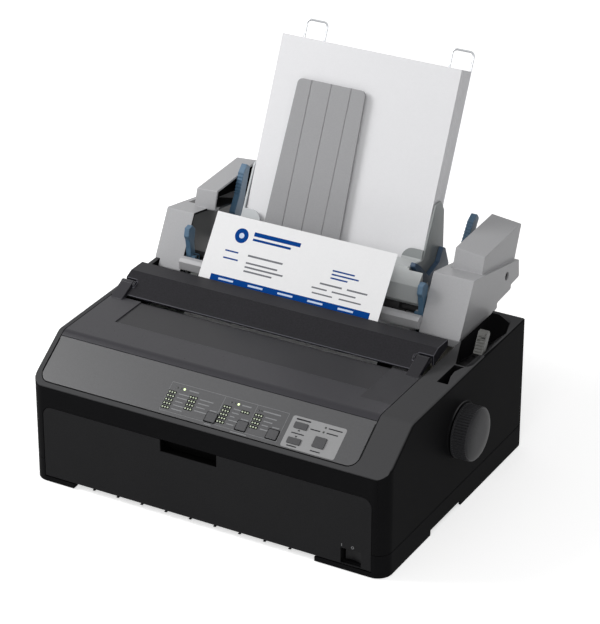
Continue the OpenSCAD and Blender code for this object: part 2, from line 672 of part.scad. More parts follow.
module print_frame() color("#9a9da1") difference() {
    union() {
        for (x = [plate_l, plate_r - plate_t]) along_x(x, x + plate_t)
            polygon(soft([[66, 14], [plate_back, 14], [plate_back, frame_top], [150, frame_top],
                          [138, 116], [66, 100]], 4, 3));
        // Tie bars; the carriage's fork runs on the front one
        bar(plate_l + 1, 66, 20, plate_r - 1, 68, 66);
        bar(plate_l + 1, plate_back - 4, 84, plate_r - 1, plate_back - 1.5, 100);
        rod_x(plate_l + 1, plate_r - 1, tractor_rod, 4);
        for (y = frame_feet) {
            bar(plate_l + 1, y - 6, 14, plate_l + 14, y + 6, 16);
            bar(plate_r - 14, y - 6, 14, plate_r - 1, y + 6, 16);
        }
        // Shelves of the carriage motor and the idler pulley
        difference() {
            bar(plate_l + 1, 67, 50, motor_x + 22, 104, 52);
            post(motor_x, belt_y, 49, 53, 11);
        }
        bar(idler_x - 14, 67, 50, plate_r - 1, 100, 52);
        post(idler_x, belt_y, 51, belt_z + belt_h + 5, 3);
        // Pins of the gears outside the plates
        rod_x(left_gear_x - 1, plate_l + 1, feed_c, 3);
        for (c = [gear_a_c, gear_b_c]) rod_x(plate_r - 1, right_gear_x + gear_w + 1, c, 3);
    }
    for (x = [plate_l - 1, plate_r - plate_t - 1]) {
        rod_x(x, x + plate_t + 2, platen_c, shaft_r + run_gap);
        rod_x(x, x + plate_t + 2, [shaft_y, shaft_z], head_shaft_r);
        rod_x(x, x + plate_t + 2, tractor_c, 5 + run_gap);
    }
    rod_x(plate_l - 1, plate_l + plate_t + 1, motor_c, 4);
}

module head_shaft() color("#c4c6c9") rod_x(plate_l - 2, plate_r + 1, [shaft_y, shaft_z], head_shaft_r);

module carriage() color("#2f2f31") difference() {
    union() {
        bar(mid - 22, 97, 76, mid + 22, 129, 102);
        bar(mid - 12, 62, 69.5, mid + 12, 98, 77);
        bar(mid - 12, 62, 60, mid + 12, 72, 70);
        bar(mid - 12, 89.9, 58, mid + 12, 98, 77);
    }
    rod_x(mid - 30, mid + 30, [shaft_y, shaft_z], head_shaft_r + run_gap);
    bar(mid - 20, 65.7, 59, mid + 20, 68.3, 66.3);
    bar(mid - 20, belt_y + pulley_r - 0.3, belt_z - 0.6,
        mid + 20, belt_y + pulley_r + 2.1, belt_z + belt_h + 0.6);
}

module print_head() color("#8b8d90") {
    difference() {
        bar(mid - 13, 104, 102, mid + 13, 137, 121);
        for (i = [0 : 4]) bar(mid - 14, 107 + 5 * i, 107, mid + 14, 109.5 + 5 * i, 122);
    }
    bar(mid - 8, 129, 87, mid + 8, 142.3, 103);
}

module ribbon_cartridge() color("#262628") {
    bar(mid - 48, 66, 102, mid + 48, 102.5, 121);
    post(mid - 30, 84, 120, 126, 9);
    for (s = [-1, 1]) {
        x = mid + 44 * s;
        bar(x - 4, 102, 104, x + 4, 138, 116);
        bar(x - 4, 132, 87, x + 4, 142.9, 116);
    }
    bar(mid - 44, 142.6, 88, mid + 44, 142.9, 100);
}

module loop2(r) {
    for (x = [motor_x, idler_x]) translate([x, belt_y]) circle(r);
    translate([motor_x, belt_y - r]) square([idler_x - motor_x, 2 * r]);
}
module drive_belt() color("#141414") translate([0, 0, belt_z]) linear_extrude(belt_h) difference() {
    loop2(pulley_r + pulley_gap + belt_t);
    loop2(pulley_r + pulley_gap);
}
module carriage_motor() color("#7b7d80") {
    post(motor_x, belt_y, 18, 50, 16);
    post(motor_x, belt_y, 49, 52.5, 10.9);
    post(motor_x, belt_y, 52, belt_z + belt_h + 5, 2.5);
}
module pulley(x, bore) difference() {
    union() {
        post(x, belt_y, belt_z - 5, belt_z + belt_h + 3, pulley_r);
        post(x, belt_y, belt_z - 3, belt_z - 0.6, pulley_r + 2.5);
        post(x, belt_y, belt_z + belt_h + 0.6, belt_z + belt_h + 3, pulley_r + 2.5);
    }
    post(x, belt_y, belt_z - 6, belt_z + belt_h + 4, bore);
}
module motor_pulley() color("#b9b3a2") pulley(motor_x, 2.5 + run_gap);
module idler_pulley() color("#b9b3a2") pulley(idler_x, 3 + run_gap);

rear_a = 46.8;
front_a = 45.6;
exit_a = 54.1;
function dir(a) = [cos(a), sin(a)];
// Curved chute under the platen that leads paper round it
module paper_guide() color("#55575a") along_x(plate_l + plate_t, plate_r - plate_t) {
    c = platen_c;
    polygon(concat(
        arc(c, platen_r + 2, 215, 270 + rear_a, 14),
        [c + (platen_r + 2) * dir(rear_a - 90) + 36 * dir(rear_a),
         c + (platen_r + 3.6) * dir(rear_a - 90) + 36 * dir(rear_a)],
        arc(c, platen_r + 3.6, 270 + rear_a, 215, 14)));
}

module main_board() color("#1f5a35") {
    bar(mid - 150, 115, 20, mid + 150, 240, 21.6);
    bar(mid + 82, 239, 20, mid + 150, body_d - 14, 21.6);
    for (p = [[-90, 130, 26, 26, 3], [-40, 140, 40, 14, 4], [20, 128, 18, 30, 4], [70, 140, 30, 16, 8],
              [-30, 195, 12, 12, 14], [0, 195, 12, 12, 14], [90, 190, 40, 20, 6]])
        bar(mid + p[0], p[1], 21, mid + p[0] + p[2], p[1] + p[3], 21.6 + p[4]);
    // Data port
    bar(mid + 93, body_d - 24, 21, mid + 137, body_d - 0.4, 30.5);
}
module power_board() color("#2b6b3e") {
    bar(mid - 152, body_d - 70, 18, mid - 84, body_d - 16, 19.6);
    difference() {
        bar(mid - 140, body_d - 26, 19, mid - 114, body_d - 0.4, 36.5);
        bar(mid - 138, body_d - 17, 21.2, mid - 116, body_d, 34.5);
    }
    for (p = [[-133.5, 25], [-122.5, 25], [-128, 30]])
        bar(mid + p[0], body_d - 18, p[1], mid + p[0] + 2, body_d - 4, p[1] + 3);
    bar(mid - 134, body_d - 64, 19, mid - 108, body_d - 34, 41);
    for (x = [mid - 100, mid - 92], y = [body_d - 58, body_d - 42]) post(x, y, 19, 36, 3.6);
}

// Sprocket feed: x its left side, e the side of its lid's hinge
function lid_x(x, e) = e < 0 ? x - 1.2 : x + tractor_w + 1.2;
module tractor(x, e) color("#d2d0ca") difference() {
    union() {
        along_x(x, x + tractor_w) polygon(soft(box2(248, 44, 298, 79), 6, 4));
        for (i = [0 : 3]) post(x + tractor_w / 2, 254 + 12.7 * i, 78, 82, 1.6);
        for (y = [250, 289.4]) {
            along_y(y, y + 6.6) translate([lid_x(x, e), 84]) circle(2.6);
            bar(min(lid_x(x, e) - 2.6, x + 2), y, 74, max(lid_x(x, e) + 2.6, x + 4), y + 6.6, 84);
        }
    }
    rod_x(x - 5, x + tractor_w + 5, tractor_c, 5 + run_gap);
    rod_x(x - 5, x + tractor_w + 5, tractor_rod, 4 + run_gap);
    along_y(240, 310) translate([lid_x(x, e), 84]) circle(1 + run_gap);
}
module tractor_lid(x, e) color("#3a3a3c") {
    along_y(257.2, 288.8) translate([lid_x(x, e), 84]) circle(2);
    along_y(252, 294) translate([lid_x(x, e), 84]) circle(1);
    bar(e < 0 ? lid_x(x, e) : x + 1, 257.2, 83, e < 0 ? x + tractor_w - 1 : lid_x(x, e), 288.8, 85);
}
module tractor_left() tractor(tractor_xs[0], -1);
module tractor_right() tractor(tractor_xs[1], 1);
module tractor_lid_left() tractor_lid(tractor_xs[0], -1);
module tractor_lid_right() tractor_lid(tractor_xs[1], 1);
module tractor_shaft() color("#c4c6c9") rod_x(plate_l - 2, plate_r + 1.5, tractor_c, 5);

// Outline of the open underside of the feeder housings, and the lugs that reach down behind the case
under_cut = [[243.5, 128], [325.5, 128], [325.5, 150], [243.5, 150]];
rear_lug = [[308, 115], [323, 115], [346, 140], [346, 156], [308, 156]];

// Top block of a housing, which slopes by k per mm of width
module housing_top(x0, x1, open, k) multmatrix([[1, 0, 0, 0], [0, 1, 0, 0], [k, 0, 1, -k * (x0 + x1) / 2]])
    difference() {
        along_x(x0, x1) polygon(soft(top_block, 2, 3));
        along_x(x0 + wall, open ? x1 + 1 : x1 - wall) polygon(inset(top_block, wall));
    }
module feeder_left_housing() color("#bcbcbe") difference() {
    union() {
        difference() {
            along_x(feeder_l, left_inner) polygon(soft(side_block, 2, 3));
            along_x(feeder_l + wall, left_inner + 1) polygon(inset(side_block, wall));
            along_x(left_edge + 3, left_inner + 1) polygon(under_cut);
        }
        housing_top(feeder_l + 18, feeder_l + 44, true, 0.08);
    }
    bar(feeder_l - 1, 200, 100, left_edge + 1.8, 400, back_top_z() + 0.6);
    along_x(cheek_x - 0.2, left_inner + 1) polygon(rear_lug);
}
module feeder_right_housing() color("#a9a9ab") difference() {
    union() {
        difference() {
            along_x(right_inner, feeder_r) polygon(soft(side_block, 2, 3));
            along_x(right_inner + wall, feeder_r - wall) polygon(inset(side_block, wall));
            along_x(right_inner + wall, feeder_r - wall) polygon(under_cut);
            rod_x(feeder_r - wall - 1, feeder_r + 1, [350.6, 174.5], 4.5);
        }
        housing_top(feeder_r - 38, feeder_r - 4, false, -0.11);
        for (y = [246, 290]) bar(right_inner + 1, y, frame_top, plate_r + 0.6, y + 11, 151);
        along_x(right_inner, right_inner + wall) polygon(rear_lug);
        rod_x(right_inner - 12.5, right_inner + 1, latch_axis, 2);
    }
    bar(plate_r + 1, 230, 120, right_gear_x + gear_w + 2, 262, 144);
    rod_x(right_inner - 1, right_inner + wall + 1, pickup_c, 4 + run_gap);
    rod_x(right_inner - 1, right_inner + wall + 1, set_axis, 3 + run_gap);
}

module feeder_frame() color("#38383a") {
    // Front beam
    along_x(left_inner, right_inner)
        polygon(soft([[237, 150], [246, 150], [246, 163], [239.5, 163], [236, 160]], 1, 2));
    // Left cheek inside its housing, on the side plate
    difference() {
        along_x(cheek_x, cheek_x + 4) union() {
            polygon(inset(side_block, wall + run_gap));
            polygon(box2(246, frame_top, 262, 150));
            polygon(box2(290, frame_top, 304, 152));
            polygon(rear_lug);
        }
        rod_x(cheek_x - 1, cheek_x + 5, pickup_c, 4 + run_gap);
        rod_x(cheek_x - 1, cheek_x + 5, set_axis, 3 + run_gap);
    }
    rod_x(cheek_x + 3, left_inner + 12.5, latch_axis, 2);
    // Rail of the edge guides, and the hopper on it
    bar(cheek_x + 3, rail[0], rail[2], right_inner, rail[1], rail[3]);
    bar(mid - hopper_half, 300, 115, mid + hopper_half, rail[0] + 1, 122);
    difference() {
        on_stack() union() {
            bar(-hopper_half, hopper_y, -8, hopper_half, hopper_y + hopper_t, hopper_z);
            bar(-hopper_half, -5, -3, hopper_half, hopper_y + 1, 0);
        }
        on_stack() for (x = wire_xs, k = [0, wire_w]) translate([x - mid + k, wire_y, 30])
            cylinder(h = hopper_z, r = wire_d / 2 + run_gap);
    }
    // Arms that carry the stacker panel
    difference() {
        for (x = [mid - 65, mid - 7]) along_x(x, x + 4) union() {
            polygon([[241, 156], [246, 160], [284, 174], [290, 170], [286, 165.6], [262, 163.5], [248, 152]]);
            translate(stacker_axis) circle(stacker_arm_r);
        }
        rod_x(mid - 70, mid, stacker_axis, 1.5 + run_gap);
    }
}

module pickup_shaft() color("#57585b") {
    rod_x(plate_l - 3, right_gear_x + gear_w + 1, pickup_c, 4);
    for (x = [mid - hopper_half + 1, mid + hopper_half - 21]) rod_x(x, x + 20, pickup_c, pickup_r);
    along_x(right_gear_x, right_gear_x + gear_w)
        translate(pickup_c) polygon(gear(pickup_teeth, pickup_phase));
}
module feeder_gear_a() color("#d9d6cc")
    gear_on(right_gear_x, gear_a_c, idler_teeth, gear_a_phase, 3 + run_gap);
module feeder_gear_b() color("#d9d6cc")
    gear_on(right_gear_x, gear_b_c, idler_teeth, gear_b_phase, 3 + run_gap);

// Edge guide of the right side about the middle of the paper. The left one is its mirror image,
// but its hood ends at the paper's edge
module guide(hood_end) difference() {
    union() {
        along_x(guide_x, guide_x + guide_t) polygon(soft([[284, 152], [306, 124], [323.5, 124], [330, 150],
            [349, 189], [349, 236], [341, 249], [330, 249], [302, 197], [289, 196], [280, 172]], 3, 4));
        bar(guide_x, 308.5, 114.5, guide_x + 9, 323.5, 129.5);
        // Hood over the pick-up roller
        difference() {
            along_x(hood_in, guide_x + guide_t) polygon(soft(hood_side, 1.5, 3));
            along_x(hood_in + 2, guide_x) polygon([[265, 160], [283, 160], [283.5, 171], [292.5, 195],
                                                   [272, 198.5], [259.5, 186.5], [259.5, 171]]);
            // The lip stops before the hood's end, clear of the roller
            along_x(hood_in - 1, hood_in + 8) polygon(box2(250, 160, 266, 167.8));
        }
        along_x(guide_x, hood_end) intersection() {
            polygon(soft(hood_side, 1.5, 3));
            polygon(box2(250, 160, 269, 210));
        }
        // Corner separator in front of the paper
        translate([0, stack_foot[0], stack_foot[1]]) rotate([-stack_lean, 0, 0])
            translate([0, -3.6, 0]) rotate([90, 0, 0]) linear_extrude(1.4)
            polygon(concat([[guide_x + 1, 36], [guide_x + 1, 86]],
                           arc([guide_x - 10.85, 74], 12, 90, 180, 6), [[guide_x - 22.85, 36]]));
        rod_x(guide_x + 1, guide_x + 8.5, [300, 170], 2.5);
    }
    bar(hood_in, rail[0] - 0.3, rail[2] - 0.3, hood_out + 12, rail[1] + 0.3, rail[3] + 0.3);
}
module guide_right() color("#a6a6a8") translate([mid, 0, 0]) guide(hood_out);
module guide_left() color("#b6b6b8") translate([mid, 0, 0]) mirror([1, 0, 0]) guide(guide_x + guide_t);

// Rocking lever that locks an edge guide to its rail
module guide_lock() difference() {
    along_x(guide_x + guide_t + 0.5, guide_x + guide_t + 6) union() {
        polygon(soft([[297, 166], [303, 164], [350, 170], [351, 174], [342.4, 195], [337.5, 198],
                      [328, 184], [304, 178], [284, 198], [273, 206.5], [269.5, 203]], 1.5, 3));
        translate([300, 170]) circle(6);
    }
    rod_x(guide_x, guide_x + 12, [300, 170], 2.5 + run_gap);
}
module guide_lock_right() color("#4a6a86") translate([mid, 0, 0]) guide_lock();
module guide_lock_left() color("#4a6a86") translate([mid, 0, 0]) mirror([1, 0, 0]) guide_lock();

module set_levers() color("#41607c") {
    rod_x(plate_l - 1.5, right_inner + wall + 0.5, set_axis, 3);
    // The right one leans back further than the left one
    for (v = [[left_inner + 11, 0], [right_inner - 7.5, 13]]) along_x(v[0], v[0] + 7) translate(set_axis) {
        circle(4.5);
        rotate(-v[1]) {
            polygon(soft([[-4.5, 0], [4.5, 0], [3, 32], [11, 54], [21.5, 82], [15.5, 87], [8, 80], [-2, 56],
                          [-13, 40]], 1.5, 3));
            for (i = [0 : 6]) translate([-0.9 + 1.45 * i, 58 + 3.4 * i]) rotate(-23)
                square([2, 1.6], center = true);
        }
    }
}

// Latch at x, whose foot reaches a little further in, towards the side given by e
module latch(x, e) difference() {
    union() {
        along_x(x, x + 6) polygon(soft([[248, 195], [255, 196.5], [260.5, 190.5], [258, 176], [258.5, 166],
                                        [261, 151], [255, 149], [250, 152], [250, 170], [248.5, 181],
                                        [246, 186]], 1, 3));
        along_x(min(x, x + 5 * e), max(x, x + 5 * e) + 6)
            polygon(soft([[250.3, 162], [260, 161.5], [261, 151], [255, 149], [250, 152]], 1, 3));
    }
    rod_x(x - 6, x + 12, latch_axis, 2 + run_gap);
}
module latch_left() color("#5b7c98") latch(left_inner + 1, 1);
module latch_right() color("#5b7c98") latch(right_inner - 7, -1);

module stacker_panel() color("#a3a3a5") {
    on_stack() difference() {
        translate([stacker_off, -3.6, stacker_foot]) rotate([90, 0, 0]) linear_extrude(2.6) polygon(soft([
            [-stacker_w / 2, 0], [stacker_w / 2, 0], [stacker_w / 2 - 6, stacker_len - 5],
            [6 - stacker_w / 2, stacker_len - 5]], 6, 5));
        for (k = [-1, 0, 1])
            translate([stacker_off + 24 * k - 0.6, -7.2, stacker_foot + 5]) cube([1.2, 1.7, stacker_len]);
    }
    for (x = [[mid - 77, mid - 66], [mid - 60, mid - 8], [mid - 2, mid + 8]]) {
        rod_x(x[0], x[1], stacker_axis, 3);
        along_x(x[0], x[1]) polygon([[285, 169.2], [290.6, 170.8], [291.8, 175.5], [289, 176.5]]);
    }
    rod_x(mid - 76, mid + 7, stacker_axis, 1.5);
}

// Wire bow behind the stack, its left leg at x
module wire_support(x) color("#c9cacc") on_stack() translate([x - mid, wire_y, 0]) {
    bend = 5;
    for (k = [0, wire_w]) translate([k, 0, 100]) cylinder(h = wire_top - bend - 100, d = wire_d);
    translate([bend, 0, wire_top]) rotate([0, 90, 0]) cylinder(h = wire_w - 2 * bend, d = wire_d);
    for (k = [0, 1]) translate([k == 0 ? bend : wire_w - bend, 0, wire_top - bend]) rotate([90, 0, 0])
        rotate([0, 0, k == 0 ? 90 : 0]) rotate_extrude(angle = 90) translate([bend, 0]) circle(d = wire_d);
}
module wire_support_left() wire_support(wire_xs[0]);
module wire_support_right() wire_support(wire_xs[1]);

module paper_stack() color("#ececec") on_stack() bar(-paper_w / 2, 0, 0, paper_w / 2, stack_t, paper_len);

// One side of the printed sheet's path, r from the platen's axis and k longer at the top
function sheet_side(r, k) = let (t1 = platen_c + r * dir(rear_a - 90),
    b = platen_c + r * dir(front_a + 90) + 79.5 * dir(front_a))
    concat([t1 + 52 * dir(rear_a)], arc(platen_c, r, rear_a - 90, front_a - 270, 20),
           [b, b + (77 + k) * dir(exit_a)]);
function back_to_front(p) = [for (i = [len(p) - 1 : -1 : 0]) p[i]];
// The sheet that has been printed: from behind the platen, round under it and out over the rear cover
module printed_sheet() color("#f4f4f4") along_x(mid - paper_w / 2, mid + paper_w / 2)
    polygon(concat(sheet_side(platen_r + 0.3, 0), back_to_front(sheet_side(platen_r + 0.3 + sheet_t, 0))));

at_origin() lower_case();
at_origin() upper_case();
at_origin() control_panel();
at_origin() panel_board();
at_origin() front_cover();
at_origin() printer_cover();
at_origin() tension_unit();
at_origin() tension_rollers();
at_origin() feet();
at_origin() case_screws();
at_origin() knob();
at_origin() platen();
at_origin() platen_shaft();
at_origin() platen_gear();
at_origin() feed_gear();
at_origin() feed_pinion();
at_origin() feed_motor();
at_origin() font_button();
at_origin() pitch_button();
at_origin() tear_off_button();
at_origin() load_button();
at_origin() line_feed_button();
at_origin() pause_button();
at_origin() power_switch();
at_origin() release_lever();
at_origin() print_frame();
at_origin() head_shaft();
at_origin() carriage();
at_origin() print_head();
at_origin() ribbon_cartridge();
at_origin() drive_belt();
at_origin() carriage_motor();
at_origin() motor_pulley();
at_origin() idler_pulley();
at_origin() paper_guide();
at_origin() main_board();
at_origin() power_board();
at_origin() tractor_left();
at_origin() tractor_right();
at_origin() tractor_lid_left();
at_origin() tractor_lid_right();
at_origin() tractor_shaft();
at_origin() feeder_left_housing();
at_origin() feeder_right_housing();
at_origin() feeder_frame();
at_origin() pickup_shaft();
at_origin() feeder_gear_a();
at_origin() feeder_gear_b();
at_origin() guide_left();
at_origin() guide_right();
at_origin() guide_lock_left();
at_origin() guide_lock_right();
at_origin() set_levers();
at_origin() latch_left();
at_origin() latch_right();
at_origin() stacker_panel();
at_origin() wire_support_left();
at_origin() wire_support_right();
at_origin() paper_stack();
at_origin() printed_sheet();
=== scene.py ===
import json
import math

import bmesh
import bpy
from mathutils import Matrix, Vector
from mathutils.bvhtree import BVHTree

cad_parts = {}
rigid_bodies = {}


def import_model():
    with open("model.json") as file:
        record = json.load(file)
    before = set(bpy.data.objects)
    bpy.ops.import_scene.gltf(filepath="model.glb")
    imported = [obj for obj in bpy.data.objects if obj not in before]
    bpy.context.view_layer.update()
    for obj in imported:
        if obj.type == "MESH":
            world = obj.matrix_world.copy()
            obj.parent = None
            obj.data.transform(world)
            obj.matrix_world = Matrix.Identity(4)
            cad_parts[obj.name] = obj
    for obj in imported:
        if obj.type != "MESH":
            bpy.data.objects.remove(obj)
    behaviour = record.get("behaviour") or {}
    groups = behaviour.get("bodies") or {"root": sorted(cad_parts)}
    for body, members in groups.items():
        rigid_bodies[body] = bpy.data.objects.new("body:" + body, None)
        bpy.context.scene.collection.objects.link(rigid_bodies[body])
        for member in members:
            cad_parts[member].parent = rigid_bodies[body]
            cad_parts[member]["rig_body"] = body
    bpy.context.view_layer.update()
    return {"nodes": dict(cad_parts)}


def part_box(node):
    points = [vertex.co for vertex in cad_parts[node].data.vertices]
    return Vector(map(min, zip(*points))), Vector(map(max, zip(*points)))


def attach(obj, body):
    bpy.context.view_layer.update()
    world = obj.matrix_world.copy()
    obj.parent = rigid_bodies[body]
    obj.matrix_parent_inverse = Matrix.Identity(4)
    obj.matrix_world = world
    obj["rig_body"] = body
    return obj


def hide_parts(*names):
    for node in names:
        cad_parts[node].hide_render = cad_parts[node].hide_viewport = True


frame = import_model()

# View and studio. The camera looks down on the printer from its front right through a long lens, which keeps
# its edges nearly parallel. Floor and backdrop are pale, and softboxes light it from the left and the front.


def linear(code):
    """The linear colour of an sRGB hex value."""
    parts = [int(code[i:i + 2], 16) / 255 for i in (1, 3, 5)]
    return tuple(c / 12.92 if c <= 0.04045 else ((c + 0.055) / 1.055) ** 2.4 for c in parts) + (1.0,)


def add(tree, kind, inputs=None, **settings):
    """A node with its settings. A value in inputs is a number, a colour or the socket that feeds it."""
    node = tree.nodes.new(kind)
    for key, value in settings.items():
        setattr(node, key, value)
    for key, value in (inputs or {}).items():
        if isinstance(value, bpy.types.NodeSocket):
            tree.links.new(value, node.inputs[key])
        else:
            node.inputs[key].default_value = value
    return node


def blank(name):
    """A new material and its empty node tree."""
    material = bpy.data.materials.new(name)
    material.use_nodes = True
    material.node_tree.nodes.clear()
    return material, material.node_tree


def show(tree, surface):
    """The surface of a material is what the socket gives."""
    add(tree, "ShaderNodeOutputMaterial", {"Surface": surface})


def seen(tree):
    """A socket that is 1 for rays that see a surface, straight or by gloss or glass, and 0 for its light."""
    rays = add(tree, "ShaderNodeLightPath").outputs
    mirrored = add(tree, "ShaderNodeMath", {0: rays["Is Glossy Ray"], 1: rays["Is Transmission Ray"]},
                   operation="MAXIMUM")
    either = add(tree, "ShaderNodeMath", {0: rays["Is Camera Ray"], 1: mirrored.outputs[0]},
                 operation="MAXIMUM")
    return either.outputs[0]


scene = bpy.context.scene
scene.view_settings.view_transform = "Standard"

azimuth, elevation, roll = (math.radians(a) for a in (29.32, 27.03, 0.07))
camera_distance = 2.8236
camera_aim = Vector((0.010, -0.0614, 0.186))
film_w = 36
picture_w = 600
focal_px = 2764.9
shift_across_px, shift_up_px = 4.8, -0.8
back = Vector((math.sin(azimuth) * math.cos(elevation), -math.cos(azimuth) * math.cos(elevation),
               math.sin(elevation)))
right = Vector((math.cos(azimuth), math.sin(azimuth), 0))
up = back.cross(right)
turn = Matrix((right, up, back)).transposed() @ Matrix.Rotation(roll, 3, "Z")
lens = bpy.data.cameras.new("camera")
lens.sensor_fit = "HORIZONTAL"
lens.sensor_width = film_w
lens.lens = focal_px / picture_w * film_w
lens.shift_x = shift_across_px / picture_w
lens.shift_y = shift_up_px / picture_w
lens.clip_end = 50
camera = bpy.data.objects.new("camera", lens)
camera.matrix_world = Matrix.Translation(camera_aim + back * camera_distance) @ turn.to_4x4()
scene.collection.objects.link(camera)
scene.camera = camera

lamp_aim = Vector((0, 0, 0.15))


def soft_lamp(name, place, power, width, depth):
    """A softbox at a place in metres that points at the middle of the printer."""
    data = bpy.data.lights.new(name, "AREA")
    data.shape = "RECTANGLE"
    data.size = width
    data.size_y = depth
    data.energy = power
    lamp = bpy.data.objects.new(name, data)
    lamp.location = place
    lamp.rotation_euler = (Vector(place) - lamp_aim).to_track_quat("Z", "Y").to_euler()
    scene.collection.objects.link(lamp)


soft_lamp("softbox_left", (-1.85, -0.75, 1.45), power=36, width=1.0, depth=1.1)
soft_lamp("softbox_front", (0.9, -2.2, 1.5), power=16, width=1.4, depth=1.0)

# The studio's walls give even white light at less than half strength, and are seen as plain white.
white = linear("#ffffff")
ambient_level = 0.42
world = bpy.data.worlds.new("studio")
scene.world = world
world.use_nodes = True
walls = world.node_tree
walls.nodes.clear()
ambient = add(walls, "ShaderNodeBackground", {"Color": white, "Strength": ambient_level})
backdrop = add(walls, "ShaderNodeBackground", {"Color": white, "Strength": 1.0})
sky = add(walls, "ShaderNodeMixShader", {0: seen(walls), 1: ambient.outputs[0], 2: backdrop.outputs[0]})
add(walls, "ShaderNodeOutputWorld", {"Surface": sky.outputs[0]})

# Matt emulsion paint on the floor: it takes the printer's shadow, and a glow lifts what is seen to white.
floor_w = 12
floor_glow = 0.6
bpy.ops.mesh.primitive_plane_add(size=floor_w, location=(0, 0, 0))
floor = bpy.context.object
floor.name = "floor"
paint, tree = blank("pale_floor_paint")
glow = add(tree, "ShaderNodeMath", {0: seen(tree), 1: floor_glow}, operation="MULTIPLY")
matt = add(tree, "ShaderNodeBsdfDiffuse", {"Color": linear("#e6e6e6")})
lift = add(tree, "ShaderNodeEmission", {"Color": white, "Strength": glow.outputs[0]})
show(tree, add(tree, "ShaderNodeAddShader", {0: matt.outputs[0], 1: lift.outputs[0]}).outputs[0])
floor.data.materials.append(paint)

# Lower and upper case. Injection-moulded ABS shells in near-black, screwed together from below. Their faces
# have the fine spark-eroded grain of a steel tool, and the top edges of the upper one are well rounded.

casing_low, casing_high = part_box("lower_case")
middle = (casing_low.x + casing_high.x) / 2
face = casing_low.y
mm = 0.001
case_half = 207
top_edge_r = 2.4


def at(x, y, z):
    """A place in millimetres from the casing's middle, its front face and the desk, in the frame's metres."""
    return Vector((middle + x * mm, face + y * mm, z * mm))


def within(tree, place, low, high):
    """A socket that is 1 where place lies in the box between two corners, in millimetres as at takes them."""
    low, high = at(*low), at(*high)
    off = add(tree, "ShaderNodeVectorMath", {0: place, 1: tuple((low + high) / 2)}, operation="SUBTRACT")
    away = add(tree, "ShaderNodeVectorMath", {0: off.outputs[0]}, operation="ABSOLUTE")
    past = add(tree, "ShaderNodeVectorMath", {0: away.outputs[0], 1: tuple((high - low) / 2)},
               operation="SUBTRACT")
    x, y, z = add(tree, "ShaderNodeSeparateXYZ", {0: past.outputs[0]}).outputs
    across = add(tree, "ShaderNodeMath", {0: x, 1: y}, operation="MAXIMUM")
    farthest = add(tree, "ShaderNodeMath", {0: across.outputs[0], 1: z}, operation="MAXIMUM")
    return add(tree, "ShaderNodeMath", {0: farthest.outputs[0], 1: 0.0}, operation="LESS_THAN").outputs[0]


def plastic(name, colour, shade, roughness, grain_mm=1.2, grain=0.12, gloss=0.5, top_sheen=0.0, areas=(),
            ior=1.53):
    """Moulded plastic, ABS by default: a colour that drifts a little towards shade, with the tool's grain in
    colour, gloss and height. The real grain is about 0.1 mm, and is drawn as coarse as it needs to show.

    top_sheen is the share of a pale painted reflection on the faces that look up. Each area is a box
    painted in another colour, most of them painted shade or highlight, as a low corner, a high corner and
    the colour."""
    drift_mm = 90
    grain_depth_mm = 0.04
    rough_by = 0.06
    sheen_from, sheen_full = 0.6, 0.83  # how far a face looks up, from 0 to 1, for some painted sheen and for all of it
    material, tree = blank(name)
    place = add(tree, "ShaderNodeTexCoord").outputs["Object"]
    drift = add(tree, "ShaderNodeTexNoise", {"Vector": place, "Scale": 1 / (drift_mm * mm), "Detail": 3.0})
    fine = add(tree, "ShaderNodeTexNoise", {"Vector": place, "Scale": 1 / (grain_mm * mm), "Detail": 2.0})
    tone = add(tree, "ShaderNodeMix", {0: drift.outputs["Fac"], 6: linear(colour), 7: linear(shade)},
               data_type="RGBA")
    light = add(tree, "ShaderNodeMapRange", {"Value": fine.outputs["Fac"], "From Min": 0.25, "From Max": 0.75,
                                             "To Min": 1 - grain, "To Max": 1 + grain})
    speckled = add(tree, "ShaderNodeVectorMath", {0: tone.outputs[2], "Scale": light.outputs[0]},
                   operation="SCALE")
    facing = add(tree, "ShaderNodeSeparateXYZ", {0: add(tree, "ShaderNodeNewGeometry").outputs["Normal"]})
    sheen_share = add(tree, "ShaderNodeMapRange", {"Value": facing.outputs["Z"], "From Min": sheen_from,
                                               "From Max": sheen_full, "To Max": top_sheen})
    # The faces that look up are mixed towards a pale grey: a painted reflection.
    sheen_and_area_tone = add(tree, "ShaderNodeMix", {0: sheen_share.outputs[0], 6: speckled.outputs[0], 7: linear("#9a9a9c")},
                data_type="RGBA")
    # Each area paints its box in its own colour, mostly painted shade or a painted highlight.
    for low, high, other in areas:
        sheen_and_area_tone = add(tree, "ShaderNodeMix", {0: within(tree, place, low, high), 6: sheen_and_area_tone.outputs[2],
                                            7: linear(other)}, data_type="RGBA")
    rough = add(tree, "ShaderNodeMapRange", {"Value": fine.outputs["Fac"], "To Min": roughness - rough_by,
                                             "To Max": roughness + rough_by})
    bump = add(tree, "ShaderNodeBump", {"Height": fine.outputs["Fac"], "Strength": 0.25,
                                        "Distance": grain_depth_mm * mm})
    skin = add(tree, "ShaderNodeBsdfPrincipled", {
        "Base Color": sheen_and_area_tone.outputs[2], "Roughness": rough.outputs[0], "Normal": bump.outputs[0],
        "IOR": ior, "Specular IOR Level": gloss})
    show(tree, skin.outputs[0])
    return material


def is_top_edge(edge):
    """Whether an edge joins the casing's upright outer side wall to a face that looks up."""
    near = 1.5 * mm
    wall, roof = sorted(edge.link_faces, key=lambda f: abs(f.normal.z))
    off_middle = (edge.verts[0].co.x + edge.verts[1].co.x) / 2 - middle
    outer = abs(off_middle) > case_half * mm - near and wall.normal.x * off_middle > 0
    upright = abs(wall.normal.z) < 0.05 and abs(wall.normal.x) > 0.9
    return outer and upright and roof.normal.z > 0.3


